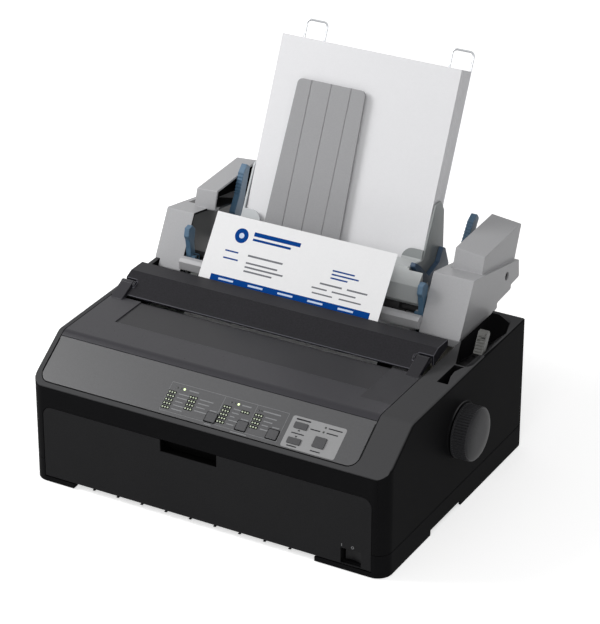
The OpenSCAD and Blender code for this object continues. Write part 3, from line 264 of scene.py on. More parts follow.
def whole_faces(node, top_edges):
    """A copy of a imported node's mesh with its triangles joined to flat faces. top_edges is the radius in
    millimetres of a case's outer top edges, or 0."""
    same_place = 1e-6
    same_plane = math.radians(0.4)
    mesh = frame["nodes"][node].data.copy()
    shape = bmesh.new()
    shape.from_mesh(mesh)
    bmesh.ops.remove_doubles(shape, verts=shape.verts, dist=same_place)
    bmesh.ops.dissolve_limit(shape, angle_limit=same_plane, verts=shape.verts, edges=shape.edges)
    if top_edges:
        outer = [edge for edge in shape.edges if len(edge.link_faces) == 2 and is_top_edge(edge)]
        bmesh.ops.bevel(shape, geom=outer, offset=top_edges * mm, segments=3, profile=0.5, affect="EDGES",
                        clamp_overlap=False)
    shape.to_mesh(mesh)
    shape.free()
    return mesh


def finished(node, material, radius, angle=28, top_edges=0.0, edge_material=None):
    """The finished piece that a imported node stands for: edges sharper than angle in degrees are rounded to
    radius millimetres, and flat faces stay flat. edge_material is for the rounded edges alone."""
    mesh = whole_faces(node, top_edges)
    mesh.materials.clear()
    mesh.materials.append(material)
    if edge_material:
        mesh.materials.append(edge_material)
    mesh.shade_smooth()
    piece = bpy.data.objects.new(node + "_moulding", mesh)
    scene.collection.objects.link(piece)
    edge = piece.modifiers.new("edges", "BEVEL")
    edge.width = radius * mm
    edge.segments = 2
    edge.limit_method = "ANGLE"
    edge.angle_limit = math.radians(angle)
    edge.use_clamp_overlap = False
    edge.miter_outer = "MITER_ARC"
    edge.material = 1 if edge_material else -1
    flat = piece.modifiers.new("flat_faces", "WEIGHTED_NORMAL")
    flat.weight = 80
    graph = bpy.context.evaluated_depsgraph_get()
    mesh = bpy.data.meshes.new_from_object(piece.evaluated_get(graph))
    piece.modifiers.clear()
    piece.data = mesh
    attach(piece, frame["nodes"][node]["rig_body"])
    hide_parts(node)
    return piece


# Black ABS from a finely eroded tool: it has nearly no gloss, so the walls stay black under soft light.
case_black = plastic("abs_case_black", "#131314", "#171718", roughness=0.5, gloss=0.1, ior=1.12)
finished("lower_case", case_black, radius=0.4)
# The same ABS, with a pale painted reflection on the faces that look up, which reads as dark grey.
# The bowl round the lever is painted darker, as painted shade.
lever_bowl_shade = ((170, 215, 100), (206.95, 312, 152.2), "#0e0e0f")
case_top_black = plastic("abs_case_black_painted_sheen_and_shade", "#131314", "#171718", roughness=0.5, gloss=0.1, top_sheen=0.19,
                         ior=1.12, areas=[lever_bowl_shade])
finished("upper_case", case_top_black, radius=0.6, top_edges=top_edge_r)

# Feet and case screws. Soft rubber pads are pressed into the bottom, and zinc-plated screws with cross
# recesses stand in the four deep holes beside them.


def rubber(name, colour, roughness=0.75, grain_mm=0.8):
    """Rubber: near-black and dull, with a moulded or ground surface and a grey bloom in clouds. The real
    grinding marks are about 0.2 mm and are drawn at grain_mm, as coarse as they need to show."""
    bloom_mm = 30
    grain_depth_mm = 0.06
    material, tree = blank(name)
    place = add(tree, "ShaderNodeTexCoord").outputs["Object"]
    bloom = add(tree, "ShaderNodeTexNoise", {"Vector": place, "Scale": 1 / (bloom_mm * mm), "Detail": 4.0})
    fine = add(tree, "ShaderNodeTexNoise", {"Vector": place, "Scale": 1 / (grain_mm * mm), "Detail": 3.0})
    tone = add(tree, "ShaderNodeMix", {0: bloom.outputs["Fac"], 6: linear(colour), 7: linear("#2b2b2c")},
               data_type="RGBA")
    bump = add(tree, "ShaderNodeBump", {"Height": fine.outputs["Fac"], "Strength": 0.4,
                                        "Distance": grain_depth_mm * mm})
    skin = add(tree, "ShaderNodeBsdfPrincipled", {"Base Color": tone.outputs[2], "Roughness": roughness,
                                                  "Normal": bump.outputs[0], "IOR": 1.5})
    show(tree, skin.outputs[0])
    return material


def metal(name, colour, roughness, streak_mm=0.5, metallic=1.0):
    """Drawn, rolled or plated metal: fine marks along X, and gloss that is uneven in clouds. Real marks are
    about 0.05 mm wide and are drawn at streak_mm, as coarse as they need to show."""
    cloud_mm = 20
    mark_depth_mm = 0.02
    stretch = 0.04
    rough_by = 0.08
    material, tree = blank(name)
    place = add(tree, "ShaderNodeTexCoord").outputs["Object"]
    drawn = add(tree, "ShaderNodeMapping", {"Vector": place, "Scale": (stretch, 1.0, 1.0)})
    streak = add(tree, "ShaderNodeTexNoise", {"Vector": drawn.outputs[0], "Scale": 1 / (streak_mm * mm),
                                              "Detail": 4.0})
    cloud = add(tree, "ShaderNodeTexNoise", {"Vector": place, "Scale": 1 / (cloud_mm * mm), "Detail": 3.0})
    light = add(tree, "ShaderNodeMapRange", {"Value": streak.outputs["Fac"], "To Min": 0.86, "To Max": 1.1})
    tone = add(tree, "ShaderNodeVectorMath", {0: linear(colour)[:3], "Scale": light.outputs[0]},
               operation="SCALE")
    rough = add(tree, "ShaderNodeMapRange", {"Value": cloud.outputs["Fac"], "To Min": roughness - rough_by,
                                             "To Max": roughness + rough_by})
    bump = add(tree, "ShaderNodeBump", {"Height": streak.outputs["Fac"], "Strength": 0.2,
                                        "Distance": mark_depth_mm * mm})
    skin = add(tree, "ShaderNodeBsdfPrincipled", {
        "Base Color": tone.outputs[0], "Roughness": rough.outputs[0], "Normal": bump.outputs[0],
        "Metallic": metallic})
    show(tree, skin.outputs[0])
    return material


def new_mesh(name, build):
    """A mesh that build draws into an empty bmesh."""
    shape = bmesh.new()
    build(shape)
    mesh = bpy.data.meshes.new(name)
    shape.to_mesh(mesh)
    shape.free()
    return mesh


def pattern(name, places, piece, tilt, finish, size=1.0):
    """Copies of a piece at the places, tilted about X, made by Geometry Nodes and turned into one mesh."""
    cloud = bpy.data.meshes.new(name)
    cloud.from_pydata([tuple(p) for p in places], [], [])
    result = bpy.data.objects.new(name, cloud)
    scene.collection.objects.link(result)
    group = bpy.data.node_groups.new(name + "_pattern", "GeometryNodeTree")
    sockets = group.interface
    for title, kind in (("Places", "Geometry"), ("Piece", "Object"), ("Tilt", "Float"), ("Size", "Float")):
        sockets.new_socket(title, in_out="INPUT", socket_type="NodeSocket" + kind)
    sockets.new_socket("Pattern", in_out="OUTPUT", socket_type="NodeSocketGeometry")
    given = add(group, "NodeGroupInput").outputs
    model = add(group, "GeometryNodeObjectInfo", {"Object": given["Piece"]})
    turned = add(group, "ShaderNodeCombineXYZ", {"X": given["Tilt"]})
    scaled = add(group, "ShaderNodeCombineXYZ", {"X": given["Size"], "Y": given["Size"], "Z": given["Size"]})
    copies = add(group, "GeometryNodeInstanceOnPoints", {
        "Points": given["Places"], "Instance": model.outputs["Geometry"],
        "Rotation": turned.outputs[0], "Scale": scaled.outputs[0]})
    real = add(group, "GeometryNodeRealizeInstances", {0: copies.outputs[0]})
    coloured = add(group, "GeometryNodeSetMaterial", {"Geometry": real.outputs[0], "Material": finish})
    add(group, "NodeGroupOutput", {0: coloured.outputs[0]})
    modifier = result.modifiers.new("pattern", "NODES")
    modifier.node_group = group
    values = {"Piece": piece, "Tilt": tilt, "Size": size}
    for item in sockets.items_tree:
        if item.in_out == "INPUT" and item.name in values:
            modifier[item.identifier] = values[item.name]
    graph = bpy.context.evaluated_depsgraph_get()
    mesh = bpy.data.meshes.new_from_object(result.evaluated_get(graph))
    result.modifiers.clear()
    result.data = mesh
    return result


def turned_profile(shape, profile, sides):
    """A solid of revolution about Z. The profile lists radii and heights in millimetres, middle first."""
    rings = []
    for radius, height in profile:
        if radius == 0:
            rings.append([shape.verts.new((0, 0, height * mm))])
        else:
            angles = [2 * math.pi * i / sides for i in range(sides)]
            rings.append([shape.verts.new((radius * mm * math.cos(a), radius * mm * math.sin(a), height * mm))
                          for a in angles])
    for low, high in zip(rings, rings[1:]):
        for i in range(sides):
            j = (i + 1) % sides
            quad = [low[i % len(low)], low[j % len(low)], high[j % len(high)], high[i % len(high)]]
            shape.faces.new(list(dict.fromkeys(quad)))
    bmesh.ops.recalc_face_normals(shape, faces=shape.faces)


def cross_screw(shape):
    """A pan head with a cross recess, facing down, with its shank above."""
    shank_r, shank_l = 1.5, 40.4
    recess_z = -1.97
    recess_size = (3.6, 0.7, 0.3)
    turned_profile(shape, [(0.0, -0.9), (0.45, -0.9), (0.55, -2.1), (2.4, -1.9), (3.2, -1.2), (3.4, 0.0),
                           (shank_r, 0.1), (shank_r, shank_l), (0.0, shank_l)], sides=24)
    for turned_by in (0, math.pi / 2):
        block = Matrix.Diagonal((*(size * mm for size in recess_size), 1))
        place = Matrix.Rotation(turned_by, 4, "Z") @ Matrix.Translation((0, 0, recess_z * mm)) @ block
        bmesh.ops.create_cube(shape, size=1.0, matrix=place)


# Moulded rubber: dull and near-black.
finished("feet", rubber("rubber_foot", "#1d1d1e"), radius=0.5)
# Zinc plate on steel: a cool, satin grey.
zinc_plate = metal("zinc_plated_steel", "#a9aaa6", roughness=0.35)
screw_x, screw_front, screw_back, screw_seat = 197, 40, 285, 10.3
screw = bpy.data.objects.new("screw_pattern", new_mesh("cross_screw", cross_screw))
screw_places = [at(x, y, screw_seat) for x in (-screw_x, screw_x) for y in (screw_front, screw_back)]
screws = pattern("case_screws_plated", screw_places, screw, tilt=0.0, finish=zinc_plate)
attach(screws, frame["nodes"]["case_screws"]["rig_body"])
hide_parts("case_screws")

# Control panel. A grey ABS plate on the slope, with a dark printed field, a light one, small square windows
# for lamps and six buttons that press straight into it. The prints are silk-screened and carry no words.

slope = math.radians(34.05)
lip_y, lip_z = 1.5, 113.0
ink_foot, ink_t = 0.01, 0.05


def on_slope(x, v, h):
    """A place on the sloping panel: x across, v up the slope and h out of it, in millimetres."""
    return at(x, lip_y + v * math.cos(slope) - h * math.sin(slope),
              lip_z + v * math.sin(slope) + h * math.cos(slope))


def ink(name, colour, roughness=0.5):
    """Screen-printing ink: even and slightly raised, with pinholes and a worn gloss. Real pinholes are about
    0.1 mm and are drawn at 0.7 mm, as coarse as they need to show."""
    pinhole_mm = 0.7
    rough_by = 0.1
    material, tree = blank(name)
    place = add(tree, "ShaderNodeTexCoord").outputs["Object"]
    fine = add(tree, "ShaderNodeTexNoise", {"Vector": place, "Scale": 1 / (pinhole_mm * mm), "Detail": 3.0})
    light = add(tree, "ShaderNodeMapRange", {"Value": fine.outputs["Fac"], "To Min": 0.85, "To Max": 1.1})
    tone = add(tree, "ShaderNodeVectorMath", {0: linear(colour)[:3], "Scale": light.outputs[0]},
               operation="SCALE")
    rough = add(tree, "ShaderNodeMapRange", {"Value": fine.outputs["Fac"], "To Min": roughness - rough_by,
                                             "To Max": roughness + rough_by})
    skin = add(tree, "ShaderNodeBsdfPrincipled", {
        "Base Color": tone.outputs[0], "Roughness": rough.outputs[0], "IOR": 1.2, "Specular IOR Level": 0.1})
    show(tree, skin.outputs[0])
    return material


def prints(name, patches, where, material, node, under=0.0):
    """Flat printed patches on a node. Each is an outline of (x, v) pairs that the function where puts in
    place, and under is the thickness in millimetres of the print below them."""
    shape = bmesh.new()
    for outline in patches:
        base = [shape.verts.new(where(x, v, under + ink_foot)) for x, v in outline]
        top = [shape.verts.new(where(x, v, under + ink_t)) for x, v in outline]
        shape.faces.new(top)
        for i in range(len(outline)):
            j = (i + 1) % len(outline)
            shape.faces.new((base[i], base[j], top[j], top[i]))
    mesh = bpy.data.meshes.new(name)
    shape.to_mesh(mesh)
    shape.free()
    mesh.materials.append(material)
    piece = bpy.data.objects.new(name, mesh)
    scene.collection.objects.link(piece)
    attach(piece, frame["nodes"][node]["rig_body"])
    return piece


def patch(x0, v0, x1, v1):
    """A square-cornered patch between two corners."""
    return [(x0, v0), (x1, v0), (x1, v1), (x0, v1)]


def arc(x, v, r, start, end, steps):
    """Points about (x, v) at radius r, from one angle in degrees to another."""
    angles = [math.radians(start + (end - start) * i / steps) for i in range(steps + 1)]
    return [(x + r * math.cos(a), v + r * math.sin(a)) for a in angles]


def rounded(x0, v0, x1, v1, r, steps=5):
    """A patch with round corners."""
    return (arc(x1 - r, v0 + r, r, -90, 0, steps) + arc(x1 - r, v1 - r, r, 0, 90, steps)
            + arc(x0 + r, v1 - r, r, 90, 180, steps) + arc(x0 + r, v0 + r, r, 180, 270, steps))


def bent_line(x, v, r, width, start, end, steps):
    """A line of one width about (x, v), as patches inside radius r, from one angle in degrees to another."""
    outer, inner = (arc(x, v, radius, start, end, steps) for radius in (r, r - width))
    return [[outer[i], outer[i + 1], inner[i + 1], inner[i]] for i in range(steps)]


def outline_of(x0, v0, x1, v1, t):
    """The four sides of a thin printed frame."""
    return [patch(x0, v0, x1, v0 + t), patch(x0, v1 - t, x1, v1), patch(x0, v0 + t, x0 + t, v1 - t),
            patch(x1 - t, v0 + t, x1, v1 - t)]


# Grey ABS with a satin grain, which takes a soft sheen from the lamp on its left.
panel_grey = plastic("abs_panel_grey", "#3d3d3f", "#434345", roughness=0.36, gloss=0.55)
finished("control_panel", panel_grey, radius=0.4)

# Along the plate's lower edge and sides, a black print with two round corners lies in the seam as painted
# shade.
seam_left, seam_right, seam_low, seam_high = -199.7, 169.8, 5.1, 56
seam_w, seam_r = 0.8, 11.5
seam_painted_shade = [patch(seam_left, seam_low + seam_r, seam_left + seam_w, seam_high),
        patch(seam_right - seam_w, seam_low + seam_r, seam_right, seam_high),
        patch(seam_left + seam_r, seam_low, seam_right - seam_r, seam_low + seam_w)]
seam_painted_shade += bent_line(seam_left + seam_r, seam_low + seam_r, seam_r, seam_w, 180, 270, steps=8)
seam_painted_shade += bent_line(seam_right - seam_r, seam_low + seam_r, seam_r, seam_w, 270, 360, steps=8)

# Three small windows stand on each dark pill. A bar for its legend is beside it, of three lengths in turn.
rows = [(-51.0, (31.6, 27.2, 22.8, 18.4, 13.9), 15), (-26.4, (31.6, 27.2, 22.8, 18.4), 16),
        (13.0, (31.7, 27.3, 23.0, 18.7, 14.3), 11), (49.3, (32.0, 27.5, 23.0, 18.4), 13)]
lone_x, lone_v = 33.9, 31.3
window_step = 3.0
pill_half_w, pill_half_h, pill_r = 4.9, 1.75, 0.9
legend_gap, legend_half, legend_less = 7.5, 0.55, 3
legends = []
for x, heights, length in rows:
    for i, v in enumerate(heights):
        legend_x = x + legend_gap
        legends.append(patch(legend_x, v - legend_half, legend_x + length - legend_less * (i % 3),
                             v + legend_half))
threes = [(x, v) for x, heights, _ in rows for v in heights] + [(lone_x, lone_v)]
pills = [rounded(x - pill_half_w, v - pill_half_h, x + pill_half_w, v + pill_half_h, pill_r)
         for x, v in threes]
windows = [(x + window_step * k, v) for x, v in threes for k in (-1, 0, 1)]

# Round each button of the dark field, a black patch is painted shade of its gap. Thin lines frame and
# divide the field, and short bars stand for its headings and captions. The light label to its right has
# dark marks of its own.
gap_half_w, gap_half_h, gap_r = 6.6, 6.1, 1.4
button_gap_shade = [rounded(x - gap_half_w, v - gap_half_h, x + gap_half_w, v + gap_half_h, gap_r)
        for x, v in ((1.7, 15.7), (37.1, 15.9), (72.2, 16.1))]
line_w = 0.35
divider_low, divider_high = 9.8, 42.7
field = outline_of(-56, 9.5, 79.6, 43, line_w)
field += [patch(x, divider_low, x + line_w, divider_high) for x in (6.3, 43.5)]
legends += [patch(-34, 37.2, -23, 38.5), patch(27.5, 37.2, 38, 38.5), patch(52, 37.2, 72, 38.5),
            patch(-3, 22.6, 5, 23.7), patch(33, 22.7, 41.5, 23.8), patch(68.5, 23.2, 76.5, 24.3),
            patch(-2.5, 7.4, 5.5, 8.3), patch(28, 6.9, 46, 7.8)]
label = [rounded(84.5, 7.2, 144.8, 42.8, r=2.5)]
label_marks = [patch(89, 39, 105, 40.6), patch(107.5, 32.2, 118.5, 33.4), patch(125.5, 37.7, 141, 38.9),
               patch(125.5, 32.5, 138, 33.7), patch(90, 23.6, 104, 24.8), patch(91, 9.2, 102, 10.4),
               patch(117, 10.2, 128, 11.4), [(95.3, 27.0), (98.3, 27.0), (96.8, 28.9)],
               [(95.3, 21.6), (96.8, 19.7), (98.3, 21.6)]]
# Opaque inks in black, two light greys and a dark grey: flat and even beside the grained plate. The
# black also paints the shade of the seam and of the gaps round the buttons.
prints("panel_seam_black", pills + button_gap_shade + seam_painted_shade, on_slope, ink("ink_black_print_and_shade", "#0c0c0d"), "control_panel")
prints("panel_print_light", field + legends, on_slope, ink("ink_light_grey", "#8b8c8e"), "control_panel")
prints("panel_label_light", label, on_slope, ink("ink_label_grey", "#9b9b9c", roughness=0.4), "control_panel")
prints("panel_print_dark", label_marks, on_slope, ink("ink_dark_grey", "#303032"), "control_panel", ink_t)


def square_window(shape):
    """A small lamp window with a rounded top."""
    turned_profile(shape, [(0, 0.22), (0.75, 0.2), (1.0, 0.05), (1.0, 0.0)], sides=12)


def dome(shape):
    """A lamp dome that stands a little out of the panel."""
    turned_profile(shape, [(0, 0.75), (0.6, 0.65), (1.1, 0.4), (1.35, 0.0)], sides=20)


def lamp_plastic(name, colour, glow_colour=None, strength=0.0):
    """Tinted, diffusing epoxy of a lamp: glossy and slightly cloudy, and lit from inside where a glow is
    given."""
    cloud_mm = 0.9
    material, tree = blank(name)
    place = add(tree, "ShaderNodeTexCoord").outputs["Object"]
    fine = add(tree, "ShaderNodeTexNoise", {"Vector": place, "Scale": 1 / (cloud_mm * mm)})
    light = add(tree, "ShaderNodeMapRange", {"Value": fine.outputs["Fac"], "To Min": 0.8, "To Max": 1.15})
    tone = add(tree, "ShaderNodeVectorMath", {0: linear(colour)[:3], "Scale": light.outputs[0]},
               operation="SCALE")
    skin = add(tree, "ShaderNodeBsdfPrincipled", {
        "Base Color": tone.outputs[0], "Roughness": 0.25, "IOR": 1.49,
        "Emission Color": linear(glow_colour or colour), "Emission Strength": strength})
    show(tree, skin.outputs[0])
    return material


window = bpy.data.objects.new("window_pattern", new_mesh("square_window", square_window))
led = bpy.data.objects.new("lamp_pattern", new_mesh("lamp_dome", dome))
head_v = 37.8
unlit = [(x, head_v) for x in (-47.7, -43.6, 15.3, 19.4)] + [(47.0, 37.2), (50.0, 37.2)]
lit = [(-39.5, head_v), (23.5, head_v)]
smoked = [(122.2, 38.3), (122.1, 33.1)]
# Pale windows and lit lamps are a soft green-white, and lamps that are off are smoky. Each set ends with its
# size, as a share of the window or lamp as drawn.
glowing = lamp_plastic("lamp_lit", "#e6f5c4", glow_colour="#dcf7a8", strength=1.1)
lamp_sets = [("panel_dots", windows, window, lamp_plastic("print_window_pale", "#c3cdb4"), 0.95),
             ("panel_lamps_dark", unlit, led, lamp_plastic("lamp_unlit", "#2e312e"), 0.8),
             ("panel_lamps_lit", lit, led, glowing, 0.95),
             ("label_lamps", smoked, led, lamp_plastic("lamp_smoked", "#3b3d3a"), 0.9)]
for name, places, piece, material, size in lamp_sets:
    spots = pattern(name, [on_slope(x, v, 0.0) for x, v in places], piece, slope, material, size)
    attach(spots, frame["nodes"]["control_panel"]["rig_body"])

# Darker ABS of the buttons: the same satin grain, so they stand out by tone alone.
button_grey = plastic("abs_button_grey", "#303032", "#37373a", roughness=0.4)
for name in ("font_button", "pitch_button", "tear_off_button", "load_button", "line_feed_button",
             "pause_button"):
    finished(name, button_grey, radius=0.45)


def circuit_board(name, board, height):
    """A circuit board: green solder mask in two tones with copper tracks between them, and dark parts above
    the height in millimetres. The tracks are drawn 1.8 mm wide, as coarse as they need to show."""
    cell_mm = 30
    half_track_mm = 0.9
    part_mm = 20
    material, tree = blank(name)
    place = add(tree, "ShaderNodeTexCoord").outputs["Object"]
    tracks = add(tree, "ShaderNodeTexBrick", {
        "Vector": place, "Scale": 1 / (cell_mm * mm), "Mortar Size": half_track_mm / cell_mm,
        "Color1": linear(board), "Color2": linear("#2c6b40"), "Mortar": linear("#4f8a52")})
    parts = add(tree, "ShaderNodeTexVoronoi", {"Vector": place, "Scale": 1 / (part_mm * mm)})
    body = add(tree, "ShaderNodeMix", {0: parts.outputs["Distance"], 6: linear("#1b1b1d"),
                                       7: linear("#4c4c50")}, data_type="RGBA")
    above = add(tree, "ShaderNodeSeparateXYZ", {0: place})
    mask = add(tree, "ShaderNodeMath", {0: above.outputs["Z"], 1: height * mm}, operation="GREATER_THAN")
    tone = add(tree, "ShaderNodeMix", {0: mask.outputs[0], 6: tracks.outputs["Color"], 7: body.outputs[2]},
               data_type="RGBA")
    skin = add(tree, "ShaderNodeBsdfPrincipled", {"Base Color": tone.outputs[2], "Roughness": 0.4,
                                                  "IOR": 1.5})
    show(tree, skin.outputs[0])
    return material


# The board behind the panel shows no tall parts, so their height is set above the whole printer.
above_all = 400
finished("panel_board", circuit_board("solder_mask_panel", "#1f5a35", above_all), radius=0.15)

# Front cover and power switch. The tall ABS flap over the front paper slot hangs on two pins at its lower
# edge and has a finger pocket. The rocker switch stands behind a square hole in it, below a bar and a ring.

# Black ABS, slightly glossier than the case, which reads as a paler black. The finger pocket is painted
# near-black, as painted shade.
finger_pocket_shade = ((-100, 1.2, 30), (100, 40, 88.6), "#060606")
flap_black = plastic("abs_flap_black", "#212122", "#262627", roughness=0.46, gloss=0.12, ior=1.2,
                     areas=[finger_pocket_shade])
finished("front_cover", flap_black, radius=0.5)
# Moulded nylon: a denser black with a low, waxy gloss.
switch_black = plastic("nylon_switch_black", "#1a1a1b", "#1f1f20", roughness=0.35, gloss=0.25, ior=1.3)
finished("power_switch", switch_black, radius=0.5)


def on_front(x, z, h):
    """A place on the front face: x across, z up and h out of it, in millimetres."""
    return at(x, -h, z)


ring_x, ring_z, ring_r, ring_w = 171.1, 29.3, 1.5, 0.5
switch_marks = bent_line(ring_x, ring_z, ring_r, ring_w, 0, 360, steps=20)
switch_marks.append(patch(158.6, 27.8, 159.2, 30.8))
prints("switch_print", switch_marks, on_front, ink("ink_switch_grey", "#8d8e90"), "front_cover")

# Printer cover and tension unit. The cover is smoky acrylic over the print head and turns on pins of the
# tension unit, a grained ABS strip that presses the paper down with two rubber-tyred rollers.

# Smoked acrylic, polished: nearly black. Over the window and at its right end it is painted darker still,
# as painted shade of the hollow below it.
window_painted_shade = ((-163.2, 96.9, 100), (135, 148.5, 170), "#141318")
right_end_painted_shade = ((135, 80, 100), (171, 172, 170), "#19181d")
cover_smoke = plastic("acrylic_cover_smoke", "#29282d", "#2d2c31", roughness=0.3, grain=0.05, gloss=0.26,
                      areas=[window_painted_shade, right_end_painted_shade])
finished("printer_cover", cover_smoke, radius=0.4)
# Black ABS with a coarse leather grain, which glitters a little. Its rounded edges take a paler grey, a
# painted highlight.
tension_black = plastic("abs_tension_black", "#141317", "#1a191e", roughness=0.42, grain_mm=1.6, grain=0.5,
                        gloss=0.16)
tension_edge_highlight = plastic("abs_tension_painted_highlight", "#4c4c52", "#54545a", roughness=0.35, gloss=0.2)
finished("tension_unit", tension_black, radius=0.5, edge_material=tension_edge_highlight)
# Moulded rubber tyres: dull black rings.
roller_rubber = rubber("rubber_roller", "#1a1a1b")
finished("tension_rollers", roller_rubber, radius=0.3)

# Platen and its drive. A ground rubber roller on a drawn steel shaft, turned by acetal gears from a small
# stepper motor, or by hand with the ribbed knob outside the right wall.

# Dark grey ABS, a tone paler than the wall behind it, so that the ribs show.
finished("knob", plastic("abs_knob_grey", "#29292b", "#2f2f31", roughness=0.42, gloss=0.1), radius=0.35)
# Ground rubber: black, and smoother than the moulded feet.
finished("platen", rubber("rubber_platen", "#141415", roughness=0.6, grain_mm=0.5), radius=0.4)
# Drawn steel: bright, with fine marks along the shaft.
drawn_steel = metal("drawn_steel", "#b4b6b8", roughness=0.28)
finished("platen_shaft", drawn_steel, radius=0.3)
# Natural acetal: milky, with a soft gloss and hardly any grain.
acetal = plastic("acetal_gear_natural", "#cfccc0", "#c6c3b6", roughness=0.45, grain=0.04)
for name in ("platen_gear", "feed_gear", "feeder_gear_a", "feeder_gear_b"):
    finished(name, acetal, radius=0.12)
# Cut brass: warm yellow and bright.
finished("feed_pinion", metal("brass_pinion", "#c49a4a", roughness=0.3), radius=0.08)
# Plated steel can of a motor: a duller grey than bare steel.
motor_steel = metal("motor_can_steel", "#8a8d90", roughness=0.4, metallic=0.9)
finished("feed_motor", motor_steel, radius=0.4)
# Grey ABS under the paper's path, matt and plain.
finished("paper_guide", plastic("abs_guide_grey", "#44474a", "#4a4d50", roughness=0.45), radius=0.25)

# Print mechanism. A frame of zinc-plated sheet steel carries the ground shaft on which the carriage slides.
# The cast print head stands on the carriage behind the ribbon cartridge, and a toothed belt pulls it.

# Rolled sheet under zinc: pale grey with broad, faint rolling marks.
finished("print_frame", metal("zinc_sheet", "#a5a8a6", roughness=0.42, streak_mm=2.0), radius=0.3)
finished("head_shaft", drawn_steel, radius=0.3)
# Glass-filled nylon: near-black and matt.
finished("carriage", plastic("nylon_carriage", "#222224", "#28282a", roughness=0.5), radius=0.3)
# Die-cast aluminium: a dull grey skin with a coarse grain.
cast_skin = metal("cast_aluminium", "#8d9094", roughness=0.5, streak_mm=1.0, metallic=0.9)
finished("print_head", cast_skin, radius=0.25)
# Black ABS with a plain satin face.
finished("ribbon_cartridge", plastic("abs_cartridge", "#1c1c1e", "#222224", roughness=0.4), radius=0.5)
finished("carriage_motor", motor_steel, radius=0.4)
for name in ("motor_pulley", "idler_pulley"):
    finished(name, acetal, radius=0.2)

# Moulded rubber belt: dull black, with lighter and darker bands over its teeth as painted light and shade.
# Their real pitch is 2 mm, and it is drawn twice as coarse, so that it shows. The texture's own wave is
# pi / 10 long.
tooth_mm = 4.084
tooth_depth_mm = 0.4
belt, tree = blank("rubber_belt_toothed")
place = add(tree, "ShaderNodeTexCoord").outputs["Object"]
teeth = add(tree, "ShaderNodeTexWave", {"Vector": place, "Scale": math.pi / 10 / (tooth_mm * mm)},
            wave_type="BANDS", bands_direction="X")
# The bands are painted lighter and darker in turn along the teeth: painted light and shade.
shade = add(tree, "ShaderNodeMapRange", {"Value": teeth.outputs["Fac"], "To Min": 0.5, "To Max": 1.2})
tone = add(tree, "ShaderNodeVectorMath", {0: linear("#151516")[:3], "Scale": shade.outputs[0]},
           operation="SCALE")
bump = add(tree, "ShaderNodeBump", {"Height": teeth.outputs["Fac"], "Strength": 0.6,
                                    "Distance": tooth_depth_mm * mm})
skin = add(tree, "ShaderNodeBsdfPrincipled", {"Base Color": tone.outputs[0], "Roughness": 0.6,
                                              "Normal": bump.outputs[0], "IOR": 1.5})
show(tree, skin.outputs[0])
finished("drive_belt", belt, radius=0.2)

# Release lever and sprocket feed. The ribbed lever right of the feeder switches between single sheets and
# sprocket-fed paper, which two tractors with hinged lids draw along on a turning shaft.

# Grey ABS, paler at the ribbed tip.
lever_tip = ((180, 200, 173), (206, 300, 190), "#5c5c58")
lever_grey = plastic("abs_lever_grey", "#434341", "#4a4a47", roughness=0.42, areas=[lever_tip])
finished("release_lever", lever_grey, radius=0.45)
# Natural acetal, a little darker than the gears, with hardly any grain.
tractor_white = plastic("acetal_tractor", "#c4c2ba", "#bcbab2", roughness=0.45, grain=0.04)
for name in ("tractor_left", "tractor_right"):
    finished(name, tractor_white, radius=0.3)
# Dark grey ABS with a satin grain.
lid_grey = plastic("abs_tractor_lid", "#303032", "#363638", roughness=0.42)
for name in ("tractor_lid_left", "tractor_lid_right"):
    finished(name, lid_grey, radius=0.25)
finished("tractor_shaft", drawn_steel, radius=0.3)

# Circuit boards. The main board with the data port and the power board with the mains inlet stand on posts of
# the lower case.

main_board_top, power_board_top = 21.7, 19.7
finished("main_board", circuit_board("solder_mask_main", "#1f5a35", main_board_top), radius=0.2)
finished("power_board", circuit_board("solder_mask_power", "#2b6b3e", power_board_top), radius=0.2)

# Feeder housings and frame. Light grey ABS shells stand on the side plates. The frame between them is
# near-black behind its front beam, and the beam is the light grey of the housings.

# Light grey ABS: an even, satin grey. The floor of the left block's hollow is painted near-black, as
# painted shade.
block_floor_shade = ((-199, 304.5, 190), (-160, 389, 197.5), "#141415")
feeder_grey = plastic("abs_feeder_grey", "#a1a1a3", "#a8a8aa", roughness=0.44, grain=0.04, gloss=0.45,
                      areas=[block_floor_shade])
# Inside the shells the grey ABS is painted near-black and matt, as painted shade, so the hollows stay dark.
hollow_painted_shade = plastic("abs_feeder_hollow_shade", "#101011", "#161617", roughness=0.5, grain=0.2, gloss=0.1, ior=1.2)
# A face is inside a shell where it looks at another wall, or looks out of the open side from deep in it;
# such faces take the painted shade.
hollow_depth = 90 * mm
rim = 3 * mm
clear_of_face = 0.2 * mm
least_wall = 4 * mm ** 2
for name, open_side in (("feeder_left_housing", 1), ("feeder_right_housing", -1)):
    housing = finished(name, feeder_grey, radius=0.5)
    housing.data.materials.append(hollow_painted_shade)
    shell = BVHTree.FromObject(housing, bpy.context.evaluated_depsgraph_get())
    rim_x = max(v.co.x * open_side for v in housing.data.vertices) - rim
    for polygon in housing.data.polygons:
        start = polygon.center + polygon.normal * clear_of_face
        faces_wall = shell.ray_cast(start, polygon.normal, hollow_depth)[0] is not None
        inner_wall = faces_wall and polygon.area > least_wall and polygon.normal.z < 0.5
        hollow_back = polygon.normal.x * open_side > 0.8 and polygon.center.x * open_side < rim_x
        if inner_wall or hollow_back:
            polygon.material_index = 1

